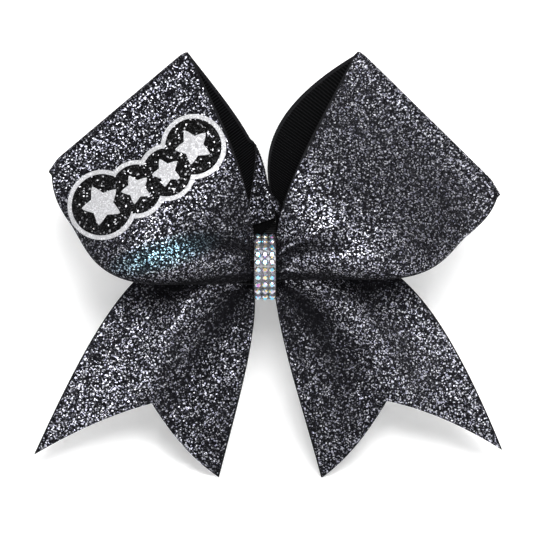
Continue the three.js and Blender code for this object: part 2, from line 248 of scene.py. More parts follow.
def plate(
    name: str,
    surface: Surface,
    cells: tuple[int, int],
    heights: tuple[float, float],
    inset: float = 0.0,
    shine: Surface | None = None,
) -> Piece:
    """Makes a thin closed sheet that follows a surface.

    Args:
        name: the piece's name.
        surface: a function of u, along the cloth, and s, across it.
        cells: rows along it and columns across it.
        heights: of its lower and its upper skin over the surface, in millimetres.
        inset: share of the width left bare at each selvedge.
        shine: the glitter's painted shade and highlight at u and s, if the sheet has glitter.

    Returns:
        The sheet.
    """
    rows, columns = cells
    across = np.linspace(inset, 1 - inset, columns + 1)
    u, s = np.meshgrid(np.linspace(0, 1, rows + 1), across, indexing="ij")
    middle = surface(u, s)
    normal = surface_normal(surface, u, s)
    vertices = np.concatenate([(middle + normal * h).reshape(-1, 3) for h in heights])
    steps = np.linalg.norm(np.diff(middle, axis=0), axis=-1).mean(axis=1)
    along = np.concatenate([[0], np.cumsum(steps)])[:, None]
    along = np.broadcast_to(along, u.shape) * MM
    uv = np.stack([along, s * RIBBON_WIDTH * MM], -1).reshape(-1, 2)
    faces = face_outwards(vertices, plate_faces(rows, columns))
    piece = make_piece(name, vertices, faces, np.concatenate([uv, uv]))
    if shine is not None:
        store(piece.data, PAINTED_SHADE, "FLOAT", "value", np.tile(shine(u, s).ravel(), 2))
    return piece


# ------------------------------------------------------------------ node helpers
class Graph:
    """A node tree being wired, for a material or for a group."""

    def __init__(self, tree: bpy.types.NodeTree) -> None:
        """Starts on a node tree."""
        self.tree = tree

    def feed(self, node: bpy.types.Node, inputs: Sockets) -> None:
        """Wires a node's inputs, or sets those that get a plain value.

        Args:
            node: the node.
            inputs: an input's name or number, and the socket or the value for it.
        """
        for key, source in inputs.items():
            target = node.inputs[key]
            if isinstance(source, Socket):
                self.tree.links.new(source, target)
            else:
                colour = target.type == "RGBA" and len(source) == 3
                target.default_value = (*source, 1) if colour else source

    def node(
        self, kind: str, inputs: Sockets | None = None, **settings: object
    ) -> bpy.types.bpy_prop_collection:
        """Adds a node.

        Args:
            kind: the node's type.
            inputs: an input's name or number, and the socket or the value for it.
            settings: property values, set before the inputs.

        Returns:
            The node's outputs.
        """
        made = self.tree.nodes.new(kind)
        for key, value in settings.items():
            setattr(made, key, value)
        self.feed(made, inputs or {})
        return made.outputs

    def maths(self, operation: str, *values: object) -> Socket:
        """Returns the result of a maths node."""
        return self.node("ShaderNodeMath", dict(enumerate(values)), operation=operation)[0]

    def vectors(self, operation: str, *values: object, out: str = "Vector") -> Socket:
        """Returns one output of a vector maths node."""
        return self.node("ShaderNodeVectorMath", dict(enumerate(values)), operation=operation)[out]

    def scaled(self, vector: object, factor: object) -> Socket:
        """Returns a vector times a number."""
        return self.node("ShaderNodeVectorMath", {0: vector, "Scale": factor}, operation="SCALE")[0]

    def clamped(self, value: Socket, most: float = 1) -> Socket:
        """Returns a value kept between 0 and a limit."""
        return self.maths("MINIMUM", self.maths("MAXIMUM", value, 0), most)

    def ramp(self, value: object, stops: list[tuple[float, Colour]]) -> Socket:
        """Looks a colour up on a ramp.

        Args:
            value: where on the ramp.
            stops: each stop's place and colour.

        Returns:
            The colour.
        """
        colour = self.node("ShaderNodeValToRGB", {0: value})[0]
        ramp = colour.node.color_ramp
        while len(ramp.elements) < len(stops):
            ramp.elements.new(0.5)
        for element, (place, shade) in zip(ramp.elements, stops):
            element.position = place
            element.color = (*shade, 1)
        return colour

    def mix(self, share: object, a: object, b: object, blend: str = "MIX") -> Socket:
        """Returns a mix of two colours."""
        inputs = {0: share, 6: a, 7: b}
        return self.node("ShaderNodeMix", inputs, data_type="RGBA", blend_type=blend)[2]

    def cells(self, place: object, size: object) -> Socket:
        """Returns a random colour for each cell of a size in metres."""
        inputs = {"Vector": place, "Scale": self.maths("DIVIDE", 1, size)}
        return self.node("ShaderNodeTexVoronoi", inputs)["Color"]

    def noise(self, place: object, scale: float, detail: float = 2) -> Socket:
        """Returns a noise value at a place."""
        inputs = {"Vector": place, "Scale": scale, "Detail": detail}
        return self.node("ShaderNodeTexNoise", inputs)[0]

    def split(self, kind: str, source: Socket) -> bpy.types.bpy_prop_collection:
        """Returns the three numbers of a colour ("Color") or of a vector ("XYZ")."""
        return self.node(f"ShaderNodeSeparate{kind}", {0: source})

    def bump(self, height: Socket, strength: float, distance: float) -> Socket:
        """Returns a normal tilted by a height."""
        inputs = {"Strength": strength, "Distance": distance, "Height": height}
        return self.node("ShaderNodeBump", inputs)[0]

    def facing(self) -> bpy.types.bpy_prop_collection:
        """Returns what is known of the surface being shaded."""
        return self.node("ShaderNodeNewGeometry")

    def place(self, rest: bool = False) -> Socket:
        """Returns where a point lies on its piece, at rest if the piece stores that."""
        if rest:
            return self.node("ShaderNodeAttribute", attribute_name=REST)["Vector"]
        return self.node("ShaderNodeTexCoord")["Object"]


def new_group(
    name: str, inputs: dict[str, tuple[str, object]], outputs: dict[str, str]
) -> tuple[Graph, bpy.types.bpy_prop_collection, bpy.types.Node]:
    """Makes an empty shader group.

    Args:
        name: the group's name.
        inputs: socket name to its type and its value.
        outputs: socket name to its type.

    Returns:
        The group's graph, what it is given and its output node.
    """
    group = bpy.data.node_groups.new(name, "ShaderNodeTree")
    for socket, (kind, value) in inputs.items():
        made = group.interface.new_socket(socket, in_out="INPUT", socket_type=kind)
        if value is not None:
            made.default_value = (*value, 1) if kind == COLOUR else value
    for socket, kind in outputs.items():
        group.interface.new_socket(socket, in_out="OUTPUT", socket_type=kind)
    graph = Graph(group)
    return graph, graph.node("NodeGroupInput"), group.nodes.new("NodeGroupOutput")


def glitter_group() -> bpy.types.ShaderNodeTree:
    """Makes the effect of glued flakes, each with a colour, a brightness and a tilt of its own.

    Returns:
        The group: coarse cells are the flakes, and finer ones break them up.
    """
    fine_share, fine_tilt = 0.52, 0.6
    glint_curve, speck_curve, speck_level = 1.6, 8, 0.1
    tint_curve, tint_most = 1.5, 0.85
    graph, given, out = new_group(
        "glitter_flakes",
        {
            "Place": (VECTOR, None),
            "Flake Size": (NUMBER, 0.0006),
            "Ground": (COLOUR, (0.01, 0.01, 0.012)),
            "Flake": (COLOUR, (0.5, 0.5, 0.55)),
            "Tint": (COLOUR, (0.4, 0.4, 0.7)),
            "Coverage": (NUMBER, 0.5),
            "Tilt": (NUMBER, 0.5),
            "Shine": (NUMBER, 1.0),
        },
        {"Color": COLOUR, "Roughness": NUMBER, "Metallic": NUMBER, "Normal": VECTOR},
    )
    maths = graph.maths
    coarse = graph.cells(given["Place"], given["Flake Size"])
    fine = graph.cells(given["Place"], maths("MULTIPLY", given["Flake Size"], fine_share))
    chance, flicker = graph.split("Color", coarse), graph.split("Color", fine)
    above = maths("SUBTRACT", chance[0], maths("SUBTRACT", 1, given["Coverage"]))
    share = maths("MAXIMUM", maths("DIVIDE", above, given["Coverage"]), 0)
    speck = maths("MULTIPLY", maths("POWER", flicker[0], speck_curve), speck_level)
    level = maths("MAXIMUM", maths("POWER", share, glint_curve), speck)
    # painted shade and highlight: flake brightness scaled by the stored painted shade
    level = maths("MULTIPLY", level, given["Shine"])
    hue = maths("MULTIPLY", maths("POWER", chance[1], tint_curve), tint_most)
    flake = graph.mix(hue, given["Flake"], given["Tint"])
    shown = maths("MINIMUM", maths("MULTIPLY", level, 6), 1)
    matt = maths("MULTIPLY_ADD", shown, -0.5, 0.76)
    centre = (0.5, 0.5, 0.5)
    tiny = graph.scaled(graph.vectors("SUBTRACT", fine, centre), fine_tilt)
    lean = graph.vectors("ADD", graph.vectors("SUBTRACT", coarse, centre), tiny)
    lean = graph.scaled(lean, given["Tilt"])
    normal = graph.vectors("ADD", graph.facing()["Normal"], lean)
    graph.feed(out, {
        "Color": graph.mix(level, given["Ground"], flake),
        "Roughness": maths("MULTIPLY_ADD", flicker[1], 0.16, matt),
        "Metallic": maths("MULTIPLY_ADD", shown, 0.75, 0.2),
        "Normal": graph.vectors("NORMALIZE", normal),
    })
    return graph.tree


def rib_group() -> bpy.types.ShaderNodeTree:
    """Makes the weave of grosgrain: ribs across the cloth, threads along it and a selvedge, with
    the rib crests painted lighter as a painted highlight.

    Returns:
        The group.
    """
    thread, selvedge_width, selvedge_rise = 0.00035, 0.0014, 8
    graph, given, out = new_group(
        "grosgrain_ribs",
        {
            "Along": (NUMBER, 0.0),
            "Across": (NUMBER, 0.0),
            "Pitch": (NUMBER, 0.0011),
            "Width": (NUMBER, RIBBON_WIDTH * MM),
            "Dark": (COLOUR, (0.0003, 0.0003, 0.0004)),
            "Light": (COLOUR, (0.03, 0.03, 0.034)),
        },
        {"Color": COLOUR, "Roughness": NUMBER, "Height": NUMBER},
    )
    maths = graph.maths
    turns = maths("DIVIDE", given["Along"], given["Pitch"])
    wave = maths("SINE", maths("MULTIPLY", turns, math.tau))
    rib = maths("POWER", maths("MULTIPLY_ADD", wave, 0.5, 0.5), 1.4)
    threads = maths("DIVIDE", given["Across"], thread)
    odd = maths("MULTIPLY", maths("FLOOR", turns), math.pi)
    stitch = maths("SINE", maths("MULTIPLY_ADD", threads, math.tau, odd))
    far = maths("SUBTRACT", given["Width"], given["Across"])
    near = maths("MINIMUM", given["Across"], far)
    rise = maths("SUBTRACT", 1, maths("DIVIDE", near, selvedge_width))
    selvedge = graph.clamped(maths("MULTIPLY", rise, selvedge_rise))
    tight = maths("SINE", maths("MULTIPLY", turns, 2 * math.tau))
    body = maths("ADD", rib, maths("MULTIPLY", stitch, 0.07))
    edge = maths("MULTIPLY_ADD", tight, 0.2, 0.95)
    # painted highlight: rib crests painted lighter than the valleys; the selvedge is painted
    # lighter too
    shade = maths("ADD", maths("MULTIPLY", rib, 0.65), maths("MULTIPLY", selvedge, 1.5))
    graph.feed(out, {
        "Color": graph.mix(shade, given["Dark"], given["Light"]),
        "Roughness": maths("MULTIPLY_ADD", rib, -0.15, 0.72),
        "Height": graph.mix(selvedge, body, edge),
    })
    return graph.tree


def new_material(name: str) -> tuple[Material, Graph, bpy.types.Node]:
    """Makes a material, and returns it with its graph and its Principled shader."""
    material = bpy.data.materials.new(name)
    material.use_nodes = True
    return material, Graph(material.node_tree), material.node_tree.nodes["Principled BSDF"]


# ------------------------------------------------------------------ finishes
@dataclass(frozen=True)
class GlitterFinish:
    """Glitter glued to cloth or film.

    rest says whether the piece stores its resting places, and painted_light whether it stores the
    glitter's painted shade and gets a painted reflection patch.
    """

    name: str
    flake_size: float
    ground: Colour
    flake: Colour
    tint: Colour
    coverage: float
    tilt: float
    metal: float = 1.0
    rest: bool = True
    painted_light: bool = False

    def build(self, group: bpy.types.ShaderNodeTree) -> Material:
        """Builds the material from the shared flake group.

        Args:
            group: the flake group.

        Returns:
            The material.
        """
        material, graph, shader = new_material(self.name)
        place = graph.place(self.rest)
        inputs = {
            "Place": place,
            "Flake Size": self.flake_size,
            "Ground": self.ground,
            "Flake": self.flake,
            "Tint": self.tint,
            "Coverage": self.coverage,
            "Tilt": self.tilt,
        }
        if self.painted_light:
            # the glitter's painted shade, read from its stored attribute
            inputs["Shine"] = graph.node("ShaderNodeAttribute", attribute_name=PAINTED_SHADE)["Fac"]
        flakes = graph.node("ShaderNodeGroup", inputs, node_tree=group)
        colour = flakes["Color"]
        graph.feed(shader, {
            "Base Color": self._painted_reflection_patch(graph, place, colour) if self.painted_light else colour,
            "Roughness": flakes["Roughness"],
            "Metallic": graph.maths("MULTIPLY", flakes["Metallic"], self.metal),
            "Normal": flakes["Normal"],
            "Specular IOR Level": 0.05,
        })
        return material

    def _painted_reflection_patch(self, graph: Graph, place: Socket, colour: Socket) -> Socket:
        """Paints a long soft sea-green reflection into the glitter on the left loop, a painted
        reflection laid out by place.

        Args:
            graph: the material's graph.
            place: where the point lies at rest.
            colour: the glitter's colour.

        Returns:
            The colour with the painted reflection.
        """
        inputs = {
            "Vector": place,
            "Location": (-0.0405, -0.023, 0.0056),
            "Rotation": (0, math.radians(-16), 0),
            "Scale": (0.022, 0.012, 0.0066),
        }
        within = graph.node("ShaderNodeMapping", inputs, vector_type="TEXTURE")[0]
        reach = graph.vectors("LENGTH", within, out="Value")
        mask = graph.clamped(graph.maths("SUBTRACT", 1.15, reach), 0.85)
        # painted reflection: sea-green multiplied into the glitter inside the patch
        return graph.mix(mask, colour, (0.75, 1.6, 1.7), "MULTIPLY")


@dataclass(frozen=True)
class GrosgrainFinish:
    """Ribbed black ribbon."""

    name: str
    weave: Weave
    pitch: float
    light: Colour = (0.011, 0.011, 0.0122)

    def build(self, group: bpy.types.ShaderNodeTree) -> Material:
        """Builds the material from the shared rib group.

        Args:
            group: the rib group.

        Returns:
            The material.
        """
        half_ribbon = 0.038
        material, graph, shader = new_material(self.name)
        if self.weave is Weave.UV:
            source = graph.node("ShaderNodeUVMap", uv_map="cloth")[0]
            along, across, _ = graph.split("XYZ", source)
        else:
            along, _, height = graph.split("XYZ", graph.place())
            across = graph.maths("ADD", height, half_ribbon)
        inputs = {"Along": along, "Across": across, "Pitch": self.pitch, "Light": self.light}
        ribs = graph.node("ShaderNodeGroup", inputs, node_tree=group)
        graph.feed(shader, {
            "Base Color": ribs["Color"],
            "Roughness": ribs["Roughness"],
            "Normal": graph.bump(ribs["Height"], 0.9, 0.0004),
            "Specular IOR Level": 0.03,
        })
        return material


@dataclass(frozen=True)
class CrystalFinish:
    """Cut crystal with a rainbow coating over a mirror foil."""

    name: str = "rainbow_crystal"
    glare: Colour = (0.55, 0.60, 0.66)
    rainbow_axis: Colour = (2.3, 0.6, 1.7)
    spread: float = 0.55

    def build(self) -> Material:
        """Builds the material, and returns it: each stone has its own random tint, and each facet a
        painted reflection colour picked by the way it faces.
        """
        material, graph, shader = new_material(self.name)
        tint = graph.node("ShaderNodeAttribute", attribute_name=TINT)["Fac"]
        normal = graph.facing()["Normal"]
        # painted reflection: the coating's colour is picked by which way a facet faces
        turned = graph.vectors("DOT_PRODUCT", normal, self.rainbow_axis, out="Value")
        mixed = graph.maths("MULTIPLY_ADD", turned, self.spread, tint)
        # the glare stops at both ends of the ramp are a painted glare
        stops = [
            (0.0, self.glare),
            (0.20, (0.10, 0.50, 0.70)),
            (0.38, (0.60, 0.66, 0.68)),
            (0.54, (0.72, 0.52, 0.14)),
            (0.68, (0.40, 0.40, 0.46)),
            (0.84, (0.42, 0.14, 0.42)),
            (1.0, self.glare),
        ]
        graph.feed(shader, {
            "Base Color": graph.ramp(graph.maths("FRACT", graph.maths("ADD", mixed, 4)), stops),
            "Metallic": 0.85,
            "Roughness": 0.16,
            "Coat Weight": 0.6,
            "Coat Roughness": 0.03,
            "IOR": 1.56,
        })
        return material


@dataclass(frozen=True)
class GrainFinish:
    """A plain material whose colour and roughness follow one fine grain."""

    name: str
    dark: Colour
    light: Colour
    roughness: float
    grain: float
    detail: float = 4
    metal: bool = False

    def build(self) -> Material:
        """Builds the material, with bump unless it is metal, and returns it."""
        material, graph, shader = new_material(self.name)
        value = graph.noise(graph.place(), self.grain, self.detail)
        graph.feed(shader, {
            "Base Color": graph.mix(value, self.dark, self.light),
            "Roughness": graph.maths("MULTIPLY_ADD", value, 0.2, self.roughness - 0.1),
        })
        if self.metal:
            graph.feed(shader, {"Metallic": 1.0})
        else:
            graph.feed(shader, {"Normal": graph.bump(value, 0.35, 0.0001)})
        return material


def metal(name: str, colour: Colour, roughness: float) -> Material:
    """Builds bright stamped metal with fine scratches, and returns it."""
    darker = tuple(0.7 * c for c in colour)
    return GrainFinish(name, darker, colour, roughness, 1600, 2, True).build()


class Palette:
    """All the finishes, each built once."""

    def __init__(self) -> None:
        """Builds the shared groups, then every material."""
        flakes, ribs = glitter_group(), rib_group()
        charcoal = GlitterFinish(
            name="charcoal_glitter",
            flake_size=0.00048,
            ground=(0.003, 0.003, 0.004),
            flake=(0.58, 0.585, 0.63),
            tint=(0.29, 0.29, 0.42),
            coverage=0.3,
            tilt=0.4,
            painted_light=True,
        )
        inner = replace(charcoal, name="charcoal_glitter_inner", rest=False, painted_light=False)
        silver = GlitterFinish(
            name="silver_glitter",
            flake_size=0.0004,
            ground=(0.36, 0.36, 0.37),
            flake=(0.72, 0.72, 0.74),
            tint=(0.52, 0.52, 0.56),
            coverage=0.8,
            tilt=0.2,
            metal=0.3,
        )
        black = GlitterFinish(
            name="black_glitter",
            flake_size=0.0006,
            ground=(0.0015, 0.0015, 0.0015),
            flake=(0.6, 0.6, 0.62),
            tint=(0.3, 0.3, 0.35),
            coverage=0.09,
            tilt=0.6,
        )
        ribbon = GrosgrainFinish("black_grosgrain", Weave.UV, 0.0011)
        ribbon_inner = replace(ribbon, name="black_grosgrain_inner", weave=Weave.OBJECT)
        # the wrap's painted rib highlight is brighter than the loops' ribbon
        wrap = GrosgrainFinish("wrap_grosgrain", Weave.UV, 0.001, (0.03, 0.03, 0.033))
        nylon_colours = (0.008, 0.008, 0.009), (0.02, 0.02, 0.022)
        elastic_colours = (0.006, 0.006, 0.007), (0.03, 0.03, 0.033)
        self.charcoal, self.charcoal_cad = charcoal.build(flakes), inner.build(flakes)
        self.silver, self.black = silver.build(flakes), black.build(flakes)
        self.grosgrain, self.grosgrain_cad = ribbon.build(ribs), ribbon_inner.build(ribs)
        self.wrap = wrap.build(ribs)
        self.crystal = CrystalFinish().build()
        self.cup = metal("silver_cup", (0.42, 0.42, 0.44), 0.34)
        self.tape = metal("silver_tape", (0.2, 0.2, 0.22), 0.45)
        self.nylon = GrainFinish("black_nylon", *nylon_colours, 0.45, 900).build()
        self.elastic = GrainFinish("black_elastic", *elastic_colours, 0.8, 5000).build()


# ------------------------------------------------------------------ ribbons
@dataclass(frozen=True)
class Crease:
    """A fold that runs out of the knot at one place across the ribbon."""

    centre: float
    width: float
    height: float
    start: float
    end: float

    def fading(self, u: Array, s: Array) -> Array:
        """Returns the crease's height in millimetres as if it ran right into the knot."""
        fall = 1 - smooth((u - self.start) / (self.end - self.start))
        return self.height * fall * hump(s, self.centre, self.width)

    def at(self, u: Array, s: Array) -> Array:
        """Returns the crease's height in millimetres."""
        return self.fading(u, s) * smooth(u / self.start)


def crease_painted_shade(creases: list[Crease], u: Array, s: Array) -> Array:
    """Works out the glitter's painted shade and highlight: painted shade in the valleys and a
    painted highlight on the ridges.

    Args:
        creases: the ribbon's creases.
        u: share of the way out from the wrap.
        s: share of the way across.

    Returns:
        The painted brightness, 1 where the ribbon is flat.
    """
    gain, least, most = 0.4, 0.1, 2.1
    # painted shade in the valleys, painted highlight on the ridges
    total = sum(crease.fading(u, s) for crease in creases)
    return np.clip(1 + gain * total, least, most)


def gathers(u: Array, s: Array, depth: float, turn: float = 0.0) -> Array:
    """Works out the pleats of a pinched ribbon, deepest at the knot.

    Args:
        u: how far from the knot.
        s: how far across.
        depth: of a pleat at the knot, in millimetres.
        turn: phase of the first one, in radians.

    Returns:
        The pleats' height in millimetres.
    """
    fade = np.exp(-((u / GATHER_REACH) ** 1.3))
    wander = 0.35 * np.sin(3.1 * s + turn)
    return depth * fade * np.cos(2 * math.pi * PLEATS * s + wander + turn)


@dataclass(kw_only=True)
class Ribbon:
    """One arm of pinched ribbon: a black backing with a glitter facing on its front.

    A kind of arm adds its surface, its painted shade and highlight, and what becomes of its pieces
    once built.
    """

    kind: ClassVar[str]
    backing_heights: ClassVar[tuple[float, float]] = (0.02, 0.4)
    facing_heights: ClassVar[tuple[float, float]] = (-0.28, -0.02)
    bare_share: ClassVar[float] = 0.009
    side: Side
    creases: list[Crease]
    cells: tuple[int, int]

    def __post_init__(self) -> None:
        """Works out the arm's name, which its pieces and its CAD nodes start with."""
        self.name = f"{self.side.name.lower()}_{self.kind}"

    def across(self, s: Array) -> Array:
        """Returns s, counted the other way on the left side so that normals face back."""
        return s if self.side is Side.RIGHT else 1 - s

    def ordered(self, u: Array, s: Array) -> Array:
        """Returns the surface with its normals on the backing's side."""
        return self.surface(u, self.across(s))

    def build_pair(self, palette: Palette) -> tuple[Piece, Piece]:
        """Builds the arm's two layers.

        Args:
            palette: the finishes.

        Returns:
            The backing and the glitter facing, attached to the bow for a loop.
        """
        size = (self.ordered, self.cells)
        backing = plate(f"{self.name}_backing", *size, self.backing_heights)
        facing = plate(
            f"{self.name}_glitter", *size, self.facing_heights, self.bare_share, self.shine
        )
        for piece, look, slot, node in (
            (backing, palette.grosgrain, "black_grosgrain", "grosgrain"),
            (facing, palette.charcoal, "charcoal_glitter", "glitter_facing"),
        ):
            self.attach(dress(piece, look))
            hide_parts(f"{self.name}_{node}")
        LOG.info("%s: backing and glitter facing", self.name)
        return backing, facing


@dataclass(kw_only=True)
class Loop(Ribbon):
    """One of the two loops: out along the front, round the fold and back along the rear."""

    kind: ClassVar[str] = "loop"
    top: tuple[float, float]
    corner: tuple[float, float]
    front_top: Curve
    front_low: Curve
    back_top: Curve
    back_low: Curve
    roll_width: float = 0.0
    roll_radius: float = 0.75
    corner_round: float = 1.5
    lean: float = 0.0
    lift: float = 0.0
    fold_radius: float = 2.5
    fold_depth: float = -8.0
    front_depth: float = -13.2
    back_depth: float = -9.3
    belly_front: float = 14.0
    belly_back: float = 12.0
    fold_from: float = 0.47
    fold_to: float = 0.53
    cells: tuple[int, int] = (240, 96)

    def __post_init__(self) -> None:
        """Works out the bend line from the loop's outer edge."""
        super().__post_init__()
        top, corner = np.array(self.top), np.array(self.corner)
        along = unit(corner - top)
        self.outward = np.array([-along[1], along[0]]) * self.side.value
        self.fold_top = top - self.outward * self.fold_radius
        self.fold_corner = corner - self.outward * self.fold_radius

    def front(self, u: Array, s: Array) -> Array:
        """Shapes the front panel, from the wrap to the bend.

        Args:
            u: share of the way out from the wrap.
            s: share of the way across.

        Returns:
            Points in millimetres; s is 0 at the upper selvedge of its section, 1 at the lower.
        """
        top = cubic_point([*self.front_top, tuple(self.fold_top)], u)
        low = cubic_point([*self.front_low, tuple(self.fold_corner)], u)
        out = np.clip(u, 0, 1)
        hook = np.sin(np.pi * out) ** 1.3  # the lower selvedge curls up behind the panel
        belly = self.belly_front * np.sin(np.pi * out**0.8) ** 1.5
        rear = lerp(self.front_depth, self.fold_depth - self.fold_radius, u)
        share = cubic(1, 2 / 3 - 0.117 * hook, 1 / 3 - 0.61 * hook, 0.1 * hook, s)
        bulge = cubic(0.8, 0.8, 1.75, -0.2, s)
        y = rear - belly * bulge
        y = y - gathers(u, s, 1.5, 0.4 * self.side.value)
        for crease in self.creases:
            y = y - crease.at(u, s)
        return np.stack([lerp(low[0], top[0], share), y, lerp(low[1], top[1], share)], -1)

    def back(self, u: Array, s: Array) -> Array:
        """Shapes the rear panel, from the wrap to the bend.

        Args:
            u: share of the way out from the wrap.
            s: share of the way across.

        Returns:
            Points in millimetres.
        """
        top = cubic_point([*self.back_top, tuple(self.fold_top)], u)
        low = cubic_point([*self.back_low, tuple(self.fold_corner)], u)
        belly = self.belly_back * np.sin(np.pi * np.clip(u, 0, 1)) ** 1.5 * s * (1 - s)
        rear = lerp(self.back_depth, self.fold_depth + self.fold_radius, u)
        y = rear + belly + gathers(u, s, 0.9)
        lean = self.lean * hump(u, 0.115, 0.075) * (1 - s) ** 5
        y = y - self.lift * hump(u, 0.13, 0.09) * (1 - s) ** 4
        return np.stack([lerp(top[0], low[0], s) + lean, y, lerp(top[1], low[1], s)], -1)

    def rolled_back(self, u: Array, s: Array) -> Array:
        """Rolls the rear panel's upper selvedge over to the front.

        Args:
            u: share of the way out from the wrap.
            s: share of the way across.

        Returns:
            Points in millimetres.
        """
        if not self.roll_width:
            return self.back(u, s)
        narrowing = np.clip(1 - (u - 0.10) / 0.48, 0, 1)
        width = self.roll_width * narrowing * smooth((u - 0.085) / 0.07)
        share = width / RIBBON_WIDTH
        point = self.back(u, np.clip((s - share) / (1 - share), 0, 1))
        inward = unit(self.back(u, np.full_like(s, 0.03)) - self.back(u, np.zeros_like(s)))
        past = np.clip(share - s, 0, None) * RIBBON_WIDTH
        bend = np.clip(past / self.roll_radius, 0, np.pi)
        over = np.clip(past - np.pi * self.roll_radius, 0, None)
        point = point - inward * (self.roll_radius * np.sin(bend) - over)[..., None]
        point[..., 1] -= self.roll_radius * (1 - np.cos(bend))
        return point

    def fold(self, turn: Array, s: Array) -> Array:
        """Shapes the bend.

        Args:
            turn: 0 at the front panel, pi at the rear one.
            s: share of the way across.

        Returns:
            Points in millimetres.
        """
        reach = self.fold_radius * np.sin(turn)
        x = lerp(self.fold_top[0], self.fold_corner[0], s) + self.outward[0] * reach
        z = lerp(self.fold_top[1], self.fold_corner[1], s) + self.outward[1] * reach
        return np.stack([x, self.fold_depth - self.fold_radius * np.cos(turn), z], -1)

    def surface(self, u: Array, s: Array) -> Array:
        """Joins the front panel, the bend and the rear panel.

        Args:
            u: share of the way along the whole loop.
            s: share of the way across.

        Returns:
            Points in millimetres, with the outer corners rounded off.
        """
        front = self.front(np.minimum(u / self.fold_from, 1), s)
        back = self.rolled_back(np.minimum((1 - u) / (1 - self.fold_to), 1), s)
        turn = np.pi * np.clip((u - self.fold_from) / (self.fold_to - self.fold_from), 0, 1)
        on_front = (u <= self.fold_from)[..., None]
        on_back = (u >= self.fold_to)[..., None]
        point = np.where(on_front, front, np.where(on_back, back, self.fold(turn, s)))
        ends = smooth((s - 0.9) / 0.1) + 0.35 * smooth((0.05 - s) / 0.05)
        pulled = self.corner_round * ends * hump(u, 0.5, 0.045)
        point[..., 0] -= self.outward[0] * pulled
        point[..., 2] -= self.outward[1] * pulled
        return point

    def shine(self, u: Array, s: Array) -> Array:
        """Paints shade and light into the loop's glitter: painted shade under the front, on the
        rear and in its roll.

        Args:
            u: share of the way along the whole loop.
            s: share of the way across.

        Returns:
            The painted brightness.
        """
        s = self.across(s)
        front = np.clip(u / self.fold_from, 0, 1)
        near = 1 - smooth((front - 0.5) / 0.35)
        # painted shade along the front's lower selvedge near the knot, where the loop overhangs
        under = 1 - 0.9 * smooth((s - 0.7) / 0.12) * near
        # painted light: the right loop brighter towards its bend, the left loop darker all over
        outer = 1 + 0.35 * smooth((front - 0.5) / 0.4) if self.side is Side.RIGHT else 0.78
        level = crease_painted_shade(self.creases, front, s) * under * outer
        # painted shade on the rear panel, darker still where it is rolled over
        rear = np.clip((1 - u) / (1 - self.fold_to), 0, 1)
        curled = self.roll_width * (1 - rear) * (s < self.roll_width / RIBBON_WIDTH)
        return np.where(u < self.fold_to, level, np.where(curled > 0, 0.45, 0.9))

    def attach(self, piece: Piece) -> None:
        """Rides a piece on the bow."""
        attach(piece, "bow")

    def build(self, palette: Palette) -> None:
        """Builds the loop's two layers.

        Args:
            palette: the finishes.
        """
        backing, facing = self.build_pair(palette)


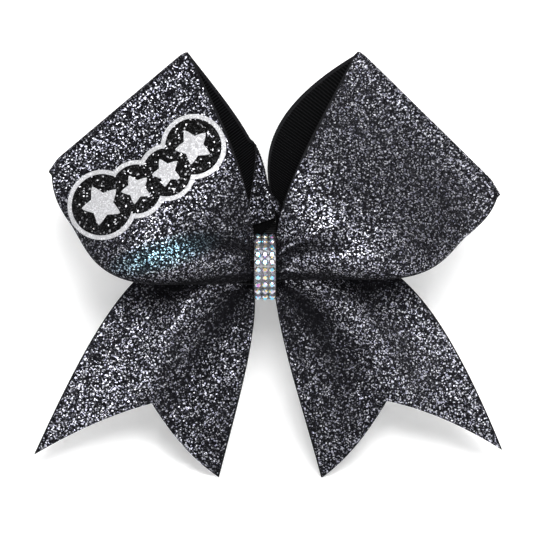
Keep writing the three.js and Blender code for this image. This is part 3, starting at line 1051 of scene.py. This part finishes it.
@dataclass(kw_only=True)
class Tail(Ribbon):
    """One tail, with an inverted V cut in its end."""

    kind: ClassVar[str] = "tail"
    outer: Curve
    inner: Curve
    notch: float = 37.5
    notch_share: float = 0.62
    length: float = 118.0
    root_depth: float = -5.5
    hang_depth: float = -0.5
    flat_length: float = 101.0
    bend_from: float = 5.5
    bend_to: float = 22.0
    cells: tuple[int, int] = (130, 96)

    def surface(self, u: Array, s: Array) -> Array:
        """Shapes the tail, from the wrap to its cut end.

        Args:
            u: share of the way out from the wrap.
            s: share of the way across.

        Returns:
            Points in millimetres.
        """
        cut = self.notch / self.length * self.notch_share * (1 - np.abs(2 * s - 1))
        reach = u * (1 - cut)
        outer = cubic_point(self.outer, reach)
        inner = cubic_point(self.inner, reach)
        away = smooth(reach / 0.3)
        hem = 2 * away * (1 - 0.5 * reach) * hump(s, 0.92, 0.12)
        y = lerp(self.root_depth, self.hang_depth, away) - hem
        y = y - gathers(reach, s, 1.4, 0.9)
        for crease in self.creases:
            y = y - crease.at(reach, s)
        return np.stack([lerp(outer[0], inner[0], s), y, lerp(outer[1], inner[1], s)], -1)

    def shine(self, u: Array, s: Array) -> Array:
        """Paints shade and light into the tail's glitter: painted shadow where it is tucked under
        the loop.

        Args:
            u: share of the way out from the wrap.
            s: share of the way across.

        Returns:
            The painted brightness.
        """
        s = self.across(s)
        # painted shadow of the loop on the tail's upper side near the knot
        tucked = 1 - 0.92 * (1 - smooth((s - 0.22) / 0.14)) * (1 - smooth((u - 0.44) / 0.25))
        # painted light: brighter far out along the outer half, darker elsewhere
        outer = 0.72 + 0.75 * smooth((0.5 - s) / 0.3) * smooth((u - 0.4) / 0.4)
        return crease_painted_shade(self.creases, u, s) * tucked * outer

    def attach(self, piece: Piece) -> None:
        """Bakes a piece's placing into its mesh."""
        x = self.side.value * MM
        start, end = (self.bend_from * x, 0, 0), (self.bend_to * x, 0, 0)
        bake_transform(piece)
        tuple(start)
        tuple(end)

    def build(self, palette: Palette) -> None:
        """Builds the tail's two layers.

        Args:
            palette: the finishes.
        """
        for piece in self.build_pair(palette):
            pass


# ------------------------------------------------------------------ the knot
@dataclass
class Knot:
    """The centre wrap and the things hidden in it."""

    width: float = 9.5
    thick: float = 0.6
    middle_depth: float = -9.3
    half_depth: float = 8.0
    half_height: float = 12.0
    back_low: float = -8.0
    corner_height: float = 16.0
    corner: float = 2.9
    rib_pitch: float = 1.0
    rib_height: float = 0.07
    around: int = 480

    def outline(self) -> tuple[Array, Array, float]:
        """Draws the wrap's outer outline.

        Returns:
            Evenly spaced points in Y and Z, their outward normals, and the length round.
        """
        low = -self.half_height
        down = np.linspace(0, 1, 60)
        lower = np.stack([
            cubic(0, 0, -3, self.middle_depth, down),
            cubic(self.back_low, low + 1, low, low, down),
        ], -1)
        turn = np.linspace(1.5 * np.pi, math.radians(97), 120)
        front = np.stack([
            self.middle_depth + self.half_depth * np.cos(turn), self.half_height * np.sin(turn)
        ], -1)
        bend = np.linspace(math.radians(140), 0, 30)
        corner = np.stack([
            -self.corner + self.corner * np.cos(bend),
            self.corner_height + self.corner * np.sin(bend),
        ], -1)
        path = np.concatenate([lower, front[1:], corner, [[0, self.back_low]]])
        steps = np.linalg.norm(np.diff(path, axis=0), axis=1)
        length = np.concatenate([[0], np.cumsum(steps)])
        even = np.linspace(0, length[-1], self.around, endpoint=False)
        points = np.stack([np.interp(even, length, path[:, k]) for k in (0, 1)], -1)
        ahead = np.roll(points, -2, 0) - np.roll(points, 2, 0)
        normal = unit(np.stack([ahead[:, 1], -ahead[:, 0]], -1))
        if ((points - points.mean(0)) * normal).sum() < 0:
            normal = -normal
        return points, normal, float(length[-1])

    def build_wrap(self, palette: Palette) -> None:
        """Builds the wrap as a ribbed band with soft edges.

        Args:
            palette: the finishes.
        """
        points, normal, length = self.outline()
        count = np.arange(self.around)
        ribs = round(length / self.rib_pitch)
        wave = 0.5 + 0.5 * np.cos(2 * np.pi * ribs * count / self.around)
        half, thick = self.width / 2, self.thick
        edge = [(half - 0.35, 0.0), (half, -0.18), (half, 0.1 - thick), (half - 0.2, -thick)]
        section = [(-x, height) for x, height in edge] + edge[::-1]
        section += [(float(x), 0.0) for x in np.linspace(half - 0.9, 0.9 - half, 5)]
        rings, uv = [], []
        for x, height in section:
            ribbed = self.rib_height * (wave - 1) * (height == 0.0)
            lifted = points + normal * (height + ribbed)[:, None]
            rings.append(np.column_stack([np.full(self.around, x), lifted]))
            across = np.full(self.around, (x + half) * MM + 0.02)
            uv.append(np.column_stack([count / self.around * length * MM, across]))
        vertices = np.concatenate(rings)
        faces = face_outwards(vertices, ring_faces(len(section), self.around))
        piece = make_piece("knot_wrap", vertices, faces, np.concatenate(uv))
        declare(dress(piece, palette.wrap), "black_grosgrain", "centre_wrap")
        LOG.info("knot wrap: %.0f mm round, %d ribs", length, ribs)

    def dress_inside(self, palette: Palette) -> None:
        """Gives the carried-over solids inside the knot their finishes.

        Args:
            palette: the finishes.
        """
        for node, look in (
            ("loop_ribbon_front_pinch", palette.charcoal_cad),
            ("loop_ribbon_rear_pinch", palette.grosgrain_cad),
            ("tail_ribbon_pinch", palette.grosgrain_cad),
            ("cinch_tie_strap", palette.nylon),
            ("cinch_tie_head", palette.nylon),
            ("stone_band_tape", palette.tape),
        ):
            dress(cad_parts[node], look)
        LOG.info("pinched runs, cinch tie and band tape dressed")


@dataclass
class StoneBand:
    """Three columns of crystals in cups, laid over the round front of the knot."""

    knot: Knot
    rows: int = 10
    columns: int = 3
    pitch_x: float = 2.84
    pitch: float = 2.98
    shift: float = 0.8
    radius: float = 1.42
    seat: float = 0.75
    seed: int = 7
    path_points: int = 120

    def path(self) -> Piece:
        """Returns the line that the middle column follows, with its outward direction."""
        turn = np.linspace(-np.pi / 2, np.pi / 2, 400)
        depth, height = self.knot.half_depth + self.seat, self.knot.half_height + self.seat
        y, z = self.knot.middle_depth - depth * np.cos(turn), height * np.sin(turn)
        arc = np.concatenate([[0], np.cumsum(np.hypot(np.diff(y), np.diff(z)))])
        arc -= arc[-1] / 2
        reach = (self.rows - 1) / 2 * self.pitch
        even = np.linspace(-reach, reach, self.path_points) + self.shift
        flat, angle = np.zeros(self.path_points), np.interp(even, arc, turn)
        points = np.column_stack([flat, np.interp(even, arc, y), np.interp(even, arc, z)])
        out = unit(np.column_stack([flat, -np.cos(angle) / depth, np.sin(angle) / height]))
        mesh = bpy.data.meshes.new("band_path")
        edges = [(i, i + 1) for i in range(self.path_points - 1)]
        mesh.from_pydata((points * MM).tolist(), edges, [])
        store(mesh, "outward", "FLOAT_VECTOR", "vector", out)
        return link("band_path", mesh)

    def lathe(self, name: str, profile: Curve, sides: int, turns: list[float]) -> Piece:
        """Makes a closed faceted body of revolution.

        Args:
            name: the piece's name.
            profile: radius and height of each ring, as shares of the stone's radius.
            sides: facets round it.
            turns: how far each ring is turned, in facets.

        Returns:
            The body, standing on +Z.
        """
        vertices, faces = [], []
        for (r, h), twist in zip(profile, turns):
            for k in range(sides):
                angle = 2 * math.pi * (k + twist) / sides
                x, y = self.radius * r * math.cos(angle), self.radius * r * math.sin(angle)
                vertices.append((x, y, self.radius * h))
        for ring in range(len(profile) - 1):
            a, b = ring * sides, (ring + 1) * sides
            for k in range(sides):
                n = (k + 1) % sides
                if turns[ring] == turns[ring + 1]:
                    faces.append((a + k, a + n, b + n, b + k))
                else:
                    faces += [(a + k, a + n, b + k), (a + n, b + n, b + k)]
        last = (len(profile) - 1) * sides
        faces += [tuple(range(sides))[::-1], tuple(range(last, last + sides))]
        piece = make_piece(name, np.array(vertices), faces)
        piece.data.shade_flat()
        return piece

    def rows_tree(
        self, name: str, inputs: dict[str, tuple[str, object]]
    ) -> tuple[bpy.types.NodeTree, list[tuple[str, object]]]:
        """Makes the Geometry Nodes tree that sets copies of a piece along a path.

        Args:
            name: the tree's name.
            inputs: each named input's type and value.

        Returns:
            The tree, and each input's identifier with its value.
        """
        tree = bpy.data.node_groups.new(name, "GeometryNodeTree")
        new_socket = tree.interface.new_socket
        new_socket("Geometry", in_out="INPUT", socket_type="NodeSocketGeometry")
        values = [
            (new_socket(label, in_out="INPUT", socket_type=kind).identifier, value)
            for label, (kind, value) in inputs.items()
        ]
        new_socket("Geometry", in_out="OUTPUT", socket_type="NodeSocketGeometry")
        graph = Graph(tree)
        node, maths = graph.node, graph.maths
        given = node("NodeGroupInput")
        line = node("GeometryNodeMeshToCurve", {"Mesh": given["Geometry"]})
        count = {"Curve": line[0], "Count": given["Rows"]}
        spread = node("GeometryNodeResampleCurve", count)
        amount = {"Geometry": spread[0], "Amount": given["Columns"]}
        copies = node("GeometryNodeDuplicateElements", amount, domain="SPLINE")
        middle = maths("DIVIDE", maths("SUBTRACT", given["Columns"], 1), 2)
        column = maths("SUBTRACT", copies["Duplicate Index"], middle)
        aside = maths("MULTIPLY", column, given["Column Pitch"])
        offset = node("ShaderNodeCombineXYZ", {"X": aside})[0]
        moved = node("GeometryNodeSetPosition", {"Geometry": copies["Geometry"], "Offset": offset})
        stored = {"Name": "outward"}
        outward = node("GeometryNodeInputNamedAttribute", stored, data_type="FLOAT_VECTOR")[0]
        aim = node("FunctionNodeAlignRotationToVector", {"Vector": outward}, axis="Z")[0]
        chance = {3: math.tau, "Seed": given["Seed"]}
        spin = node("FunctionNodeRandomValue", chance, data_type="FLOAT")[1]
        about = node("FunctionNodeAxisAngleToRotation", {"Angle": spin})[0]
        turned = node("FunctionNodeRotateRotation", {0: aim, 1: about}, rotation_space="LOCAL")[0]
        model = node("GeometryNodeObjectInfo", {"Object": given["Source"]})["Geometry"]
        copy = {"Points": moved[0], "Instance": model, "Rotation": turned}
        placed = node("GeometryNodeInstanceOnPoints", copy)[0]
        chance = {"Seed": maths("ADD", given["Seed"], 11)}
        tint = node("FunctionNodeRandomValue", chance, data_type="FLOAT")[1]
        kept = node(
            "GeometryNodeStoreNamedAttribute",
            {"Geometry": placed, "Name": TINT},
            data_type="FLOAT",
            domain="INSTANCE",
        )
        graph.feed(kept[0].node, {"Value": tint})
        real = node("GeometryNodeRealizeInstances", {0: kept[0]})[0]
        finish = {"Geometry": real, "Material": given["Finish"]}
        finished = node("GeometryNodeSetMaterial", finish)[0]
        graph.feed(tree.nodes.new("NodeGroupOutput"), {0: finished})
        return tree, values

    def scatter(self, name: str, path: Piece, source: Piece, look: Material) -> Piece:
        """Sets a source piece along the path.

        Args:
            name: the new piece's name.
            path: the line that the middle column follows.
            source: the piece to copy.
            look: its finish.

        Returns:
            All the copies as one plain mesh.
        """
        tree, values = self.rows_tree(f"{name}_rows", {
            "Rows": ("NodeSocketInt", self.rows),
            "Columns": ("NodeSocketInt", self.columns),
            "Column Pitch": (NUMBER, self.pitch_x * MM),
            "Seed": ("NodeSocketInt", self.seed),
            "Source": ("NodeSocketObject", source),
            "Finish": ("NodeSocketMaterial", look),
        })
        modifier = path.modifiers.new(name, "NODES")
        modifier.node_group = tree
        for identifier, value in values:
            modifier[identifier] = value
        depsgraph = bpy.context.evaluated_depsgraph_get()
        made = path.evaluated_get(depsgraph)
        mesh = bpy.data.meshes.new_from_object(made, depsgraph=depsgraph)
        path.modifiers.clear()
        mesh.name = name
        return link(name, mesh)

    def build(self, palette: Palette) -> None:
        """Builds the stones and their cups.

        Args:
            palette: the finishes.
        """
        path = self.path()
        gem_profile = [(0.55, 0.0), (0.97, 0.42), (1.0, 0.52), (0.8, 0.88), (0.5, 1.08)]
        cup_profile = [(0.9, -0.1), (1.0, 0.0), (1.01, 0.26), (0.96, 0.28), (0.7, 0.1)]
        gem = self.lathe("gem", gem_profile, 8, [0, 0, 0, 0.5, 0.5])
        cup = self.lathe("cup", cup_profile, 12, [0, 0, 0, 0, 0])
        rows, columns = range(1, self.rows + 1), range(1, self.columns + 1)
        nodes = [f"stone_row{r}_col{c}" for r in rows for c in columns]
        declare(self.scatter("crystals", path, gem, palette.crystal), "crystal", *nodes)
        declare(self.scatter("crystal_cups", path, cup, palette.cup), "silver_tape")
        for spare in (gem, cup, path):
            bpy.data.objects.remove(spare)
        LOG.info("stone band: %d crystals in %d columns", len(nodes), self.columns)


# ------------------------------------------------------------------ the decal
@dataclass(frozen=True)
class Star:
    """One star of the decal, in the decal's own tilted axes."""

    at: float
    rise: float
    radius: float


@dataclass
class Decal:
    """Three films pressed on the left loop: a pale border, a dark ground and pale stars."""

    loop: Loop
    centre: tuple[float, float] = (-48.5, 32.0)
    tilt: float = math.radians(29)
    ground_margin: float = 3.0
    border_margin: float = 4.8
    film: float = 0.1
    gap: float = 0.06
    first_height: float = 0.05
    facing_height: float = 0.3
    waist: float = 0.5
    softness: float = 8
    tip_limit: float = 0.93
    stars: tuple[Star, ...] = (
        Star(-18.2, 2.6, 9.4),
        Star(-3.0, 1.3, 7.0),
        Star(11.0, 1.3, 6.8),
        Star(25.4, 5.2, 8.4),
    )

    def lay(self, along: Array, across: Array, height: float) -> Array:
        """Lays points of the decal's plane on the loop's front, by Newton's method.

        Args:
            along: distance along the decal, in millimetres.
            across: distance up it.
            height: over the glitter facing.

        Returns:
            The points.
        """
        cos, sin = math.cos(self.tilt), math.sin(self.tilt)
        x = self.centre[0] + along * cos - across * sin
        z = self.centre[1] + along * sin + across * cos
        u, s = np.full_like(x, 0.28), np.full_like(x, 0.45)
        step, rounds = 1e-3, 16
        surface = self.loop.surface
        for _ in range(rounds):
            here = surface(u, s)
            du, ds = surface(u + step, s) - here, surface(u, s + step) - here
            dx, dz = x - here[..., 0], z - here[..., 2]
            size = du[..., 0] * ds[..., 2] - du[..., 2] * ds[..., 0]
            u = np.clip(u + step * (dx * ds[..., 2] - dz * ds[..., 0]) / size, 0.02, 0.469)
            s = np.clip(s + step * (du[..., 0] * dz - du[..., 2] * dx) / size, 0.01, 0.985)
        return surface(u, s) + surface_normal(surface, u, s) * (height + self.facing_height)

    def outline(self, along: Array, margin: float) -> tuple[Array, Array]:
        """Draws the scalloped film's rim.

        Args:
            along: places along the decal.
            margin: how far the film reaches past the stars' tips.

        Returns:
            The lowest and the highest point of the film at each place.
        """
        low, high = np.full_like(along, np.inf), np.full_like(along, -np.inf)
        for star in self.stars:
            reach = star.radius + margin
            inside = np.abs(along - star.at) <= reach + 1e-6
            half = np.sqrt(np.maximum(reach**2 - (along - star.at) ** 2, 0.02))
            low = np.where(inside, np.minimum(low, star.rise - half), low)
            high = np.where(inside, np.maximum(high, star.rise + half), high)
        return low, high

    def scalloped(self, name: str, margin: float, height: float) -> Piece:
        """Makes one scalloped film.

        Args:
            name: the piece's name.
            margin: how far it reaches past the stars' tips.
            height: of its lower skin over the facing.

        Returns:
            The film.
        """
        rows, columns = 220, 40
        first, last = self.stars[0], self.stars[-1]
        share = (1 - np.cos(np.pi * np.linspace(0, 1, rows + 1))) / 2
        start, end = first.at - first.radius - margin, last.at + last.radius + margin
        along = lerp(start, end, share)
        low, high = self.outline(along, margin)
        across = lerp(low[:, None], high[:, None], np.linspace(0, 1, columns + 1)[None, :])
        wide = np.broadcast_to(along[:, None], across.shape)
        skins = [self.lay(wide, across, h).reshape(-1, 3) for h in (height, height + self.film)]
        vertices = np.concatenate(skins)
        return make_piece(name, vertices, face_outwards(vertices, plate_faces(rows, columns)))

    def edge(self, angle: Array) -> Array:
        """Draws a star with soft tips.

        Args:
            angle: directions from its middle, in radians.

        Returns:
            How far its edge lies in each direction, as a share of its radius.
        """
        fifth = np.pi / 5
        wedge = np.abs((angle - np.pi / 2 + fifth) % (2 * fifth) - fifth)
        side_x, side_y = self.waist * np.cos(fifth) - 1, self.waist * np.sin(fifth)
        edge = side_y / (np.cos(wedge) * side_y - np.sin(wedge) * side_x)
        power = self.softness
        return 1 / ((1 / edge) ** power + (1 / self.tip_limit) ** power) ** (1 / power)

    def star(self, name: str, star: Star, height: float) -> Piece:
        """Makes one star.

        Args:
            name: the piece's name.
            star: its place and size.
            height: of its lower skin over the facing.

        Returns:
            The star.
        """
        sides, rings = 160, 14
        angle = 2 * np.pi * np.arange(sides) / sides
        share = np.linspace(0, 1, rings + 1)[1:]
        radius = star.radius * share[:, None] * self.edge(angle)[None, :]
        along = star.at + radius * np.cos(angle)
        across = star.rise + radius * np.sin(angle)
        skins = []
        for h in (height, height + self.film):
            middle = self.lay(np.array([star.at]), np.array([star.rise]), h)
            skins += [middle, self.lay(along, across, h).reshape(-1, 3)]
        size, last = 1 + rings * sides, 1 + (rings - 1) * sides
        pairs = [(k, (k + 1) % sides) for k in range(sides)]
        faces = [(0, 1 + j, 1 + i) for i, j in pairs]
        faces += [(size, size + 1 + i, size + 1 + j) for i, j in pairs]
        for a in range(1, last, sides):
            b = a + sides
            faces += [(a + i, a + j, b + j, b + i) for i, j in pairs]
            faces += [(size + a + i, size + b + i, size + b + j, size + a + j) for i, j in pairs]
        faces += [(last + i, last + j, size + last + j, size + last + i) for i, j in pairs]
        piece = make_piece(name, np.concatenate(skins), faces)
        mesh = bmesh.new()
        mesh.from_mesh(piece.data)
        bmesh.ops.recalc_face_normals(mesh, faces=mesh.faces)
        mesh.to_mesh(piece.data)
        mesh.free()
        return piece

    def build(self, palette: Palette) -> None:
        """Builds the films in order, one on another.

        Args:
            palette: the finishes.
        """
        layer, height = self.film + self.gap, self.first_height
        border = self.scalloped("decal_film_border", self.border_margin, height)
        declare(dress(border, palette.silver), "silver_glitter", "decal_border")
        ground = self.scalloped("decal_film_ground", self.ground_margin, height + layer)
        declare(dress(ground, palette.black), "black_glitter", "decal_ground")
        for number, star in enumerate(self.stars, 1):
            piece = self.star(f"decal_film_star_{number}", star, height + 2 * layer)
            declare(dress(piece, palette.silver), "silver_glitter", f"decal_star_{number}")
        LOG.info("decal: border, ground and %d stars", len(self.stars))


# ------------------------------------------------------------------ the hair elastic
@dataclass
class HairElastic:
    """A braided ring trapped in the wrap's upper back corner."""

    reach: float = 30.0
    half_width: float = 17.0
    radius: float = 1.95
    corner: float = 2.9
    height: float = 16.0
    strands: int = 8
    turns: int = 34
    braid: float = 0.16
    cells: tuple[int, int] = (720, 40)

    def path(self, share: Array) -> Array:
        """Draws the ring's centreline: straight under the wrap, a rounded bow behind it.

        Args:
            share: of the way round.

        Returns:
            Points in millimetres.
        """
        turn = 2 * np.pi * share
        out = (1 - np.cos(turn)) / 2
        width = np.sin(turn) * (1 - 0.2 * np.cos(turn))
        back = self.reach * out * smooth(out / 0.16)
        flat = np.full_like(share, self.height)
        return np.stack([self.half_width * width, -self.corner + back, flat], -1)

    def build(self, palette: Palette) -> None:
        """Builds the cord with its braid raised in the mesh.

        Args:
            palette: the finishes.
        """
        steps, sides = self.cells
        share, near = np.arange(steps) / steps, 0.002
        centre = self.path(share)
        ahead = unit(self.path((share + near) % 1) - self.path((share - near) % 1))
        up = np.array([0.0, 0.0, 1.0])
        out = np.cross(ahead, up)
        lengths = np.linalg.norm(np.roll(centre, -1, 0) - centre, axis=1)
        along = np.concatenate([[0], np.cumsum(lengths)[:-1]]) / lengths.sum()
        angle = 2 * np.pi * np.arange(sides) / sides
        strand = self.strands / 2 * angle[None, :]
        wound = 2 * np.pi * self.turns * along[:, None]
        raised = np.maximum(np.abs(np.sin(strand + wound)), np.abs(np.sin(strand - wound)))
        swell = self.radius - self.braid + self.braid * raised**2
        ring = np.cos(angle)[None, :, None] * up + np.sin(angle)[None, :, None] * out[:, None, :]
        vertices = (centre[:, None, :] + ring * swell[..., None]).reshape(-1, 3)
        faces = face_outwards(vertices, ring_faces(steps, sides))
        piece = dress(make_piece("braided_elastic", vertices, faces), palette.elastic)
        declare(piece, "black_elastic", "hair_elastic", body="elastic")
        LOG.info("hair elastic: %.0f mm round", lengths.sum())


# ------------------------------------------------------------------ the studio
@dataclass(frozen=True)
class Lamp:
    """A soft square light that shines on the bow, in metres and watts."""

    name: str
    place: tuple[float, float, float]
    size: float
    power: float

    def hang(self) -> None:
        """Hangs the light."""
        data = bpy.data.lights.new(self.name, "AREA")
        data.size = self.size
        data.energy = self.power
        lamp = bpy.data.objects.new(self.name, data)
        lamp.location = self.place
        lamp.rotation_euler = (-Vector(self.place)).to_track_quat("-Z", "Y").to_euler()
        bpy.context.scene.collection.objects.link(lamp)


@dataclass
class Studio:
    """Pale floor and wall, soft lights and a long lens straight in front, in metres."""

    floor_height: float = -0.0868
    wall_depth: float = 0.034
    camera_distance: float = 1.5
    view_width: float = 0.2175
    focus_depth: float = 0.002
    sensor: float = 36.0
    centre: tuple[float, float] = (0.0006, 0.0006)
    sky_strength: float = 0.26
    lamps: tuple[Lamp, ...] = (
        Lamp("key", (0.1, -0.88, 0.45), 0.5, 11.0),
        Lamp("right_fill", (0.6, -0.8, 0.1), 0.5, 0.9),
        Lamp("left_fill", (-0.7, -0.7, 0.3), 0.3, 0.5),
    )

    def pale(self, name: str, one_sided: bool) -> Material:
        """Builds the floor's or the wall's plain pale finish.

        Args:
            name: the material's name.
            one_sided: whether it lets light and sight through from behind.

        Returns:
            The material.
        """
        material, graph, shader = new_material(name)
        value = graph.noise(graph.place(), 40)
        graph.feed(shader, {
            "Base Color": graph.mix(value, (0.93, 0.93, 0.93), (0.95, 0.95, 0.95)),
            "Roughness": 0.9,
            "Specular IOR Level": 0.1,
            "Emission Color": (1, 1, 1),
            "Emission Strength": 0.2,
        })
        if one_sided:
            shadow = graph.node("ShaderNodeLightPath")["Is Shadow Ray"]
            unseen = graph.maths("MAXIMUM", graph.facing()["Backfacing"], shadow)
            clear = graph.node("ShaderNodeBsdfTransparent")[0]
            mixed = graph.node("ShaderNodeMixShader", {0: unseen, 1: shader.outputs[0], 2: clear})
            graph.feed(material.node_tree.nodes["Material Output"], {"Surface": mixed[0]})
        return material

    def build_stage(self) -> None:
        """Builds the floor and a wall that curves into it."""
        size, radius, lap, lift, wall_height = 3000.0, 45.0, 30, 0.2, 2500
        z, back = self.floor_height / MM, self.wall_depth / MM
        corners = np.array([[-size, -size, z], [size, -size, z], [size, size, z], [-size, size, z]])
        floor = dress(make_piece("floor", corners, [(0, 1, 2, 3)]), self.pale("pale_floor", False))
        foot = z + lift
        profile = [(back - radius - lap, foot)]
        for t in np.linspace(0, np.pi / 2, 17):
            out, up = radius * (1 - math.sin(t)), radius * (1 - math.cos(t))
            profile.append((back - out, foot + up))
        profile.append((back, z + wall_height))
        rows = np.array([[x, y, h] for y, h in profile for x in (-size, size)])
        quads = [(2 * k, 2 * k + 1, 2 * k + 3, 2 * k + 2) for k in range(len(profile) - 1)]
        wall = dress(make_piece("wall", rows, quads), self.pale("pale_wall", True))
        LOG.info("stage: floor and wall")

    def build_sky(self) -> None:
        """Builds an even pale sky that looks plain white to the camera."""
        world = bpy.data.worlds.new("studio_sky")
        world.use_nodes = True
        bpy.context.scene.world = world
        graph = Graph(world.node_tree)
        base = world.node_tree.nodes["Background"]
        way = graph.split("XYZ", graph.node("ShaderNodeTexCoord")["Generated"])
        height = graph.maths("MULTIPLY_ADD", way["Z"], 0.5, 0.5)
        stops = [(0.3, (0.35, 0.35, 0.35)), (0.6, (0.6, 0.6, 0.62)), (0.9, (1.0, 1.0, 1.0))]
        graph.feed(base, {"Color": graph.ramp(height, stops), "Strength": self.sky_strength})
        seen = graph.node("ShaderNodeBackground", {"Color": (1, 1, 1)})[0]
        sight = graph.node("ShaderNodeLightPath")["Is Camera Ray"]
        mixed = graph.node("ShaderNodeMixShader", {0: sight, 1: base.outputs[0], 2: seen})[0]
        graph.feed(world.node_tree.nodes["World Output"], {"Surface": mixed})

    def build_camera(self) -> None:
        """Sets the camera straight in front of the bow."""
        data = bpy.data.cameras.new("camera")
        data.sensor_width = self.sensor
        data.lens = self.sensor * (self.camera_distance - self.focus_depth) / self.view_width
        data.clip_start = 0.01
        camera = bpy.data.objects.new("camera", data)
        camera.location = (self.centre[0], -self.camera_distance, self.centre[1])
        camera.rotation_euler = (math.pi / 2, 0, 0)
        bpy.context.scene.collection.objects.link(camera)
        bpy.context.scene.camera = camera
        bpy.context.scene.view_settings.view_transform = "Standard"

    def build(self) -> None:
        """Builds the camera, the stage, the lights and the sky."""
        self.build_camera()
        self.build_stage()
        for lamp in self.lamps:
            lamp.hang()
        self.build_sky()


# ------------------------------------------------------------------ the bow
def right_loop() -> Loop:
    """Returns the right loop's sizes."""
    return Loop(
        side=Side.RIGHT,
        top=(38.2, 88.5),
        corner=(96.8, 31.0),
        front_top=[(4.5, 9), (4.5, 29), (20, 55)],
        front_low=[(4.5, -4.6), (40, -7), (84, -10)],
        back_top=[(4.5, 14), (5.5, 30), (-16, 55)],
        back_low=[(4.5, -6), (42, 4), (80, 4)],
        lift=2.4,
        creases=[
            Crease(0.15, 0.05, 0.8, 0.15, 0.5),
            Crease(0.30, 0.035, 1.6, 0.12, 0.55),
            Crease(0.385, 0.04, -2.6, 0.1, 0.65),
            Crease(0.54, 0.095, 2.6, 0.08, 1.0),
        ],
    )


def left_loop() -> Loop:
    """Returns the left loop's sizes."""
    return Loop(
        side=Side.LEFT,
        top=(-32.0, 88.3),
        corner=(-89.0, 40.3),
        front_top=[(-4.5, 11), (-6, 38), (-18, 60)],
        front_low=[(-4.5, -4.6), (-40, -14), (-86, -8)],
        back_top=[(-4.5, 14), (7.4, 38), (-4.5, 54)],
        back_low=[(-4.5, -7), (-42, -4), (-76, 8)],
        roll_width=20.0,
        lean=7.6,
        creases=[
            Crease(0.26, 0.04, 1.1, 0.12, 0.5),
            Crease(0.36, 0.045, -2.8, 0.1, 0.6),
            Crease(0.55, 0.10, 2.8, 0.08, 1.0),
        ],
    )


def right_tail() -> Tail:
    """Returns the right tail's sizes."""
    return Tail(
        side=Side.RIGHT,
        outer=[(4.5, 2), (46, 20), (70, -8), (97.1, -74.6)],
        inner=[(4.5, -12), (6, -30), (15, -56), (23.0, -85.8)],
        creases=[
            Crease(0.12, 0.04, 0.9, 0.2, 0.6),
            Crease(0.39, 0.085, 5.0, 0.3, 1.4),
            Crease(0.63, 0.08, -2.6, 0.3, 1.1),
            Crease(0.86, 0.04, -1.2, 0.2, 0.8),
        ],
    )


def left_tail() -> Tail:
    """Returns the left tail's sizes."""
    return Tail(
        side=Side.LEFT,
        outer=[(-4.5, 2), (-44, 24), (-66, -14), (-94.4, -76.3)],
        inner=[(-4.5, -12), (-3, -28), (-11, -55), (-18.8, -85.5)],
        creases=[
            Crease(0.15, 0.05, -1.6, 0.3, 0.9),
            Crease(0.41, 0.085, 5.0, 0.25, 1.4),
            Crease(0.66, 0.08, -2.6, 0.3, 1.0),
            Crease(0.87, 0.05, -1.2, 0.25, 0.8),
        ],
    )


def main() -> None:
    """Builds the stage and then the bow, from the knot outwards."""
    logging.basicConfig(level=logging.INFO, format="%(name)s: %(message)s")
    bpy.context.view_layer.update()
    Studio().build()
    palette = Palette()
    left, right = left_loop(), right_loop()
    for part in (left, right, left_tail(), right_tail()):
        part.build(palette)
    knot = Knot()
    knot.build_wrap(palette)
    knot.dress_inside(palette)
    StoneBand(knot).build(palette)
    Decal(left).build(palette)
    HairElastic().build(palette)


if __name__ == "__main__":
    main()
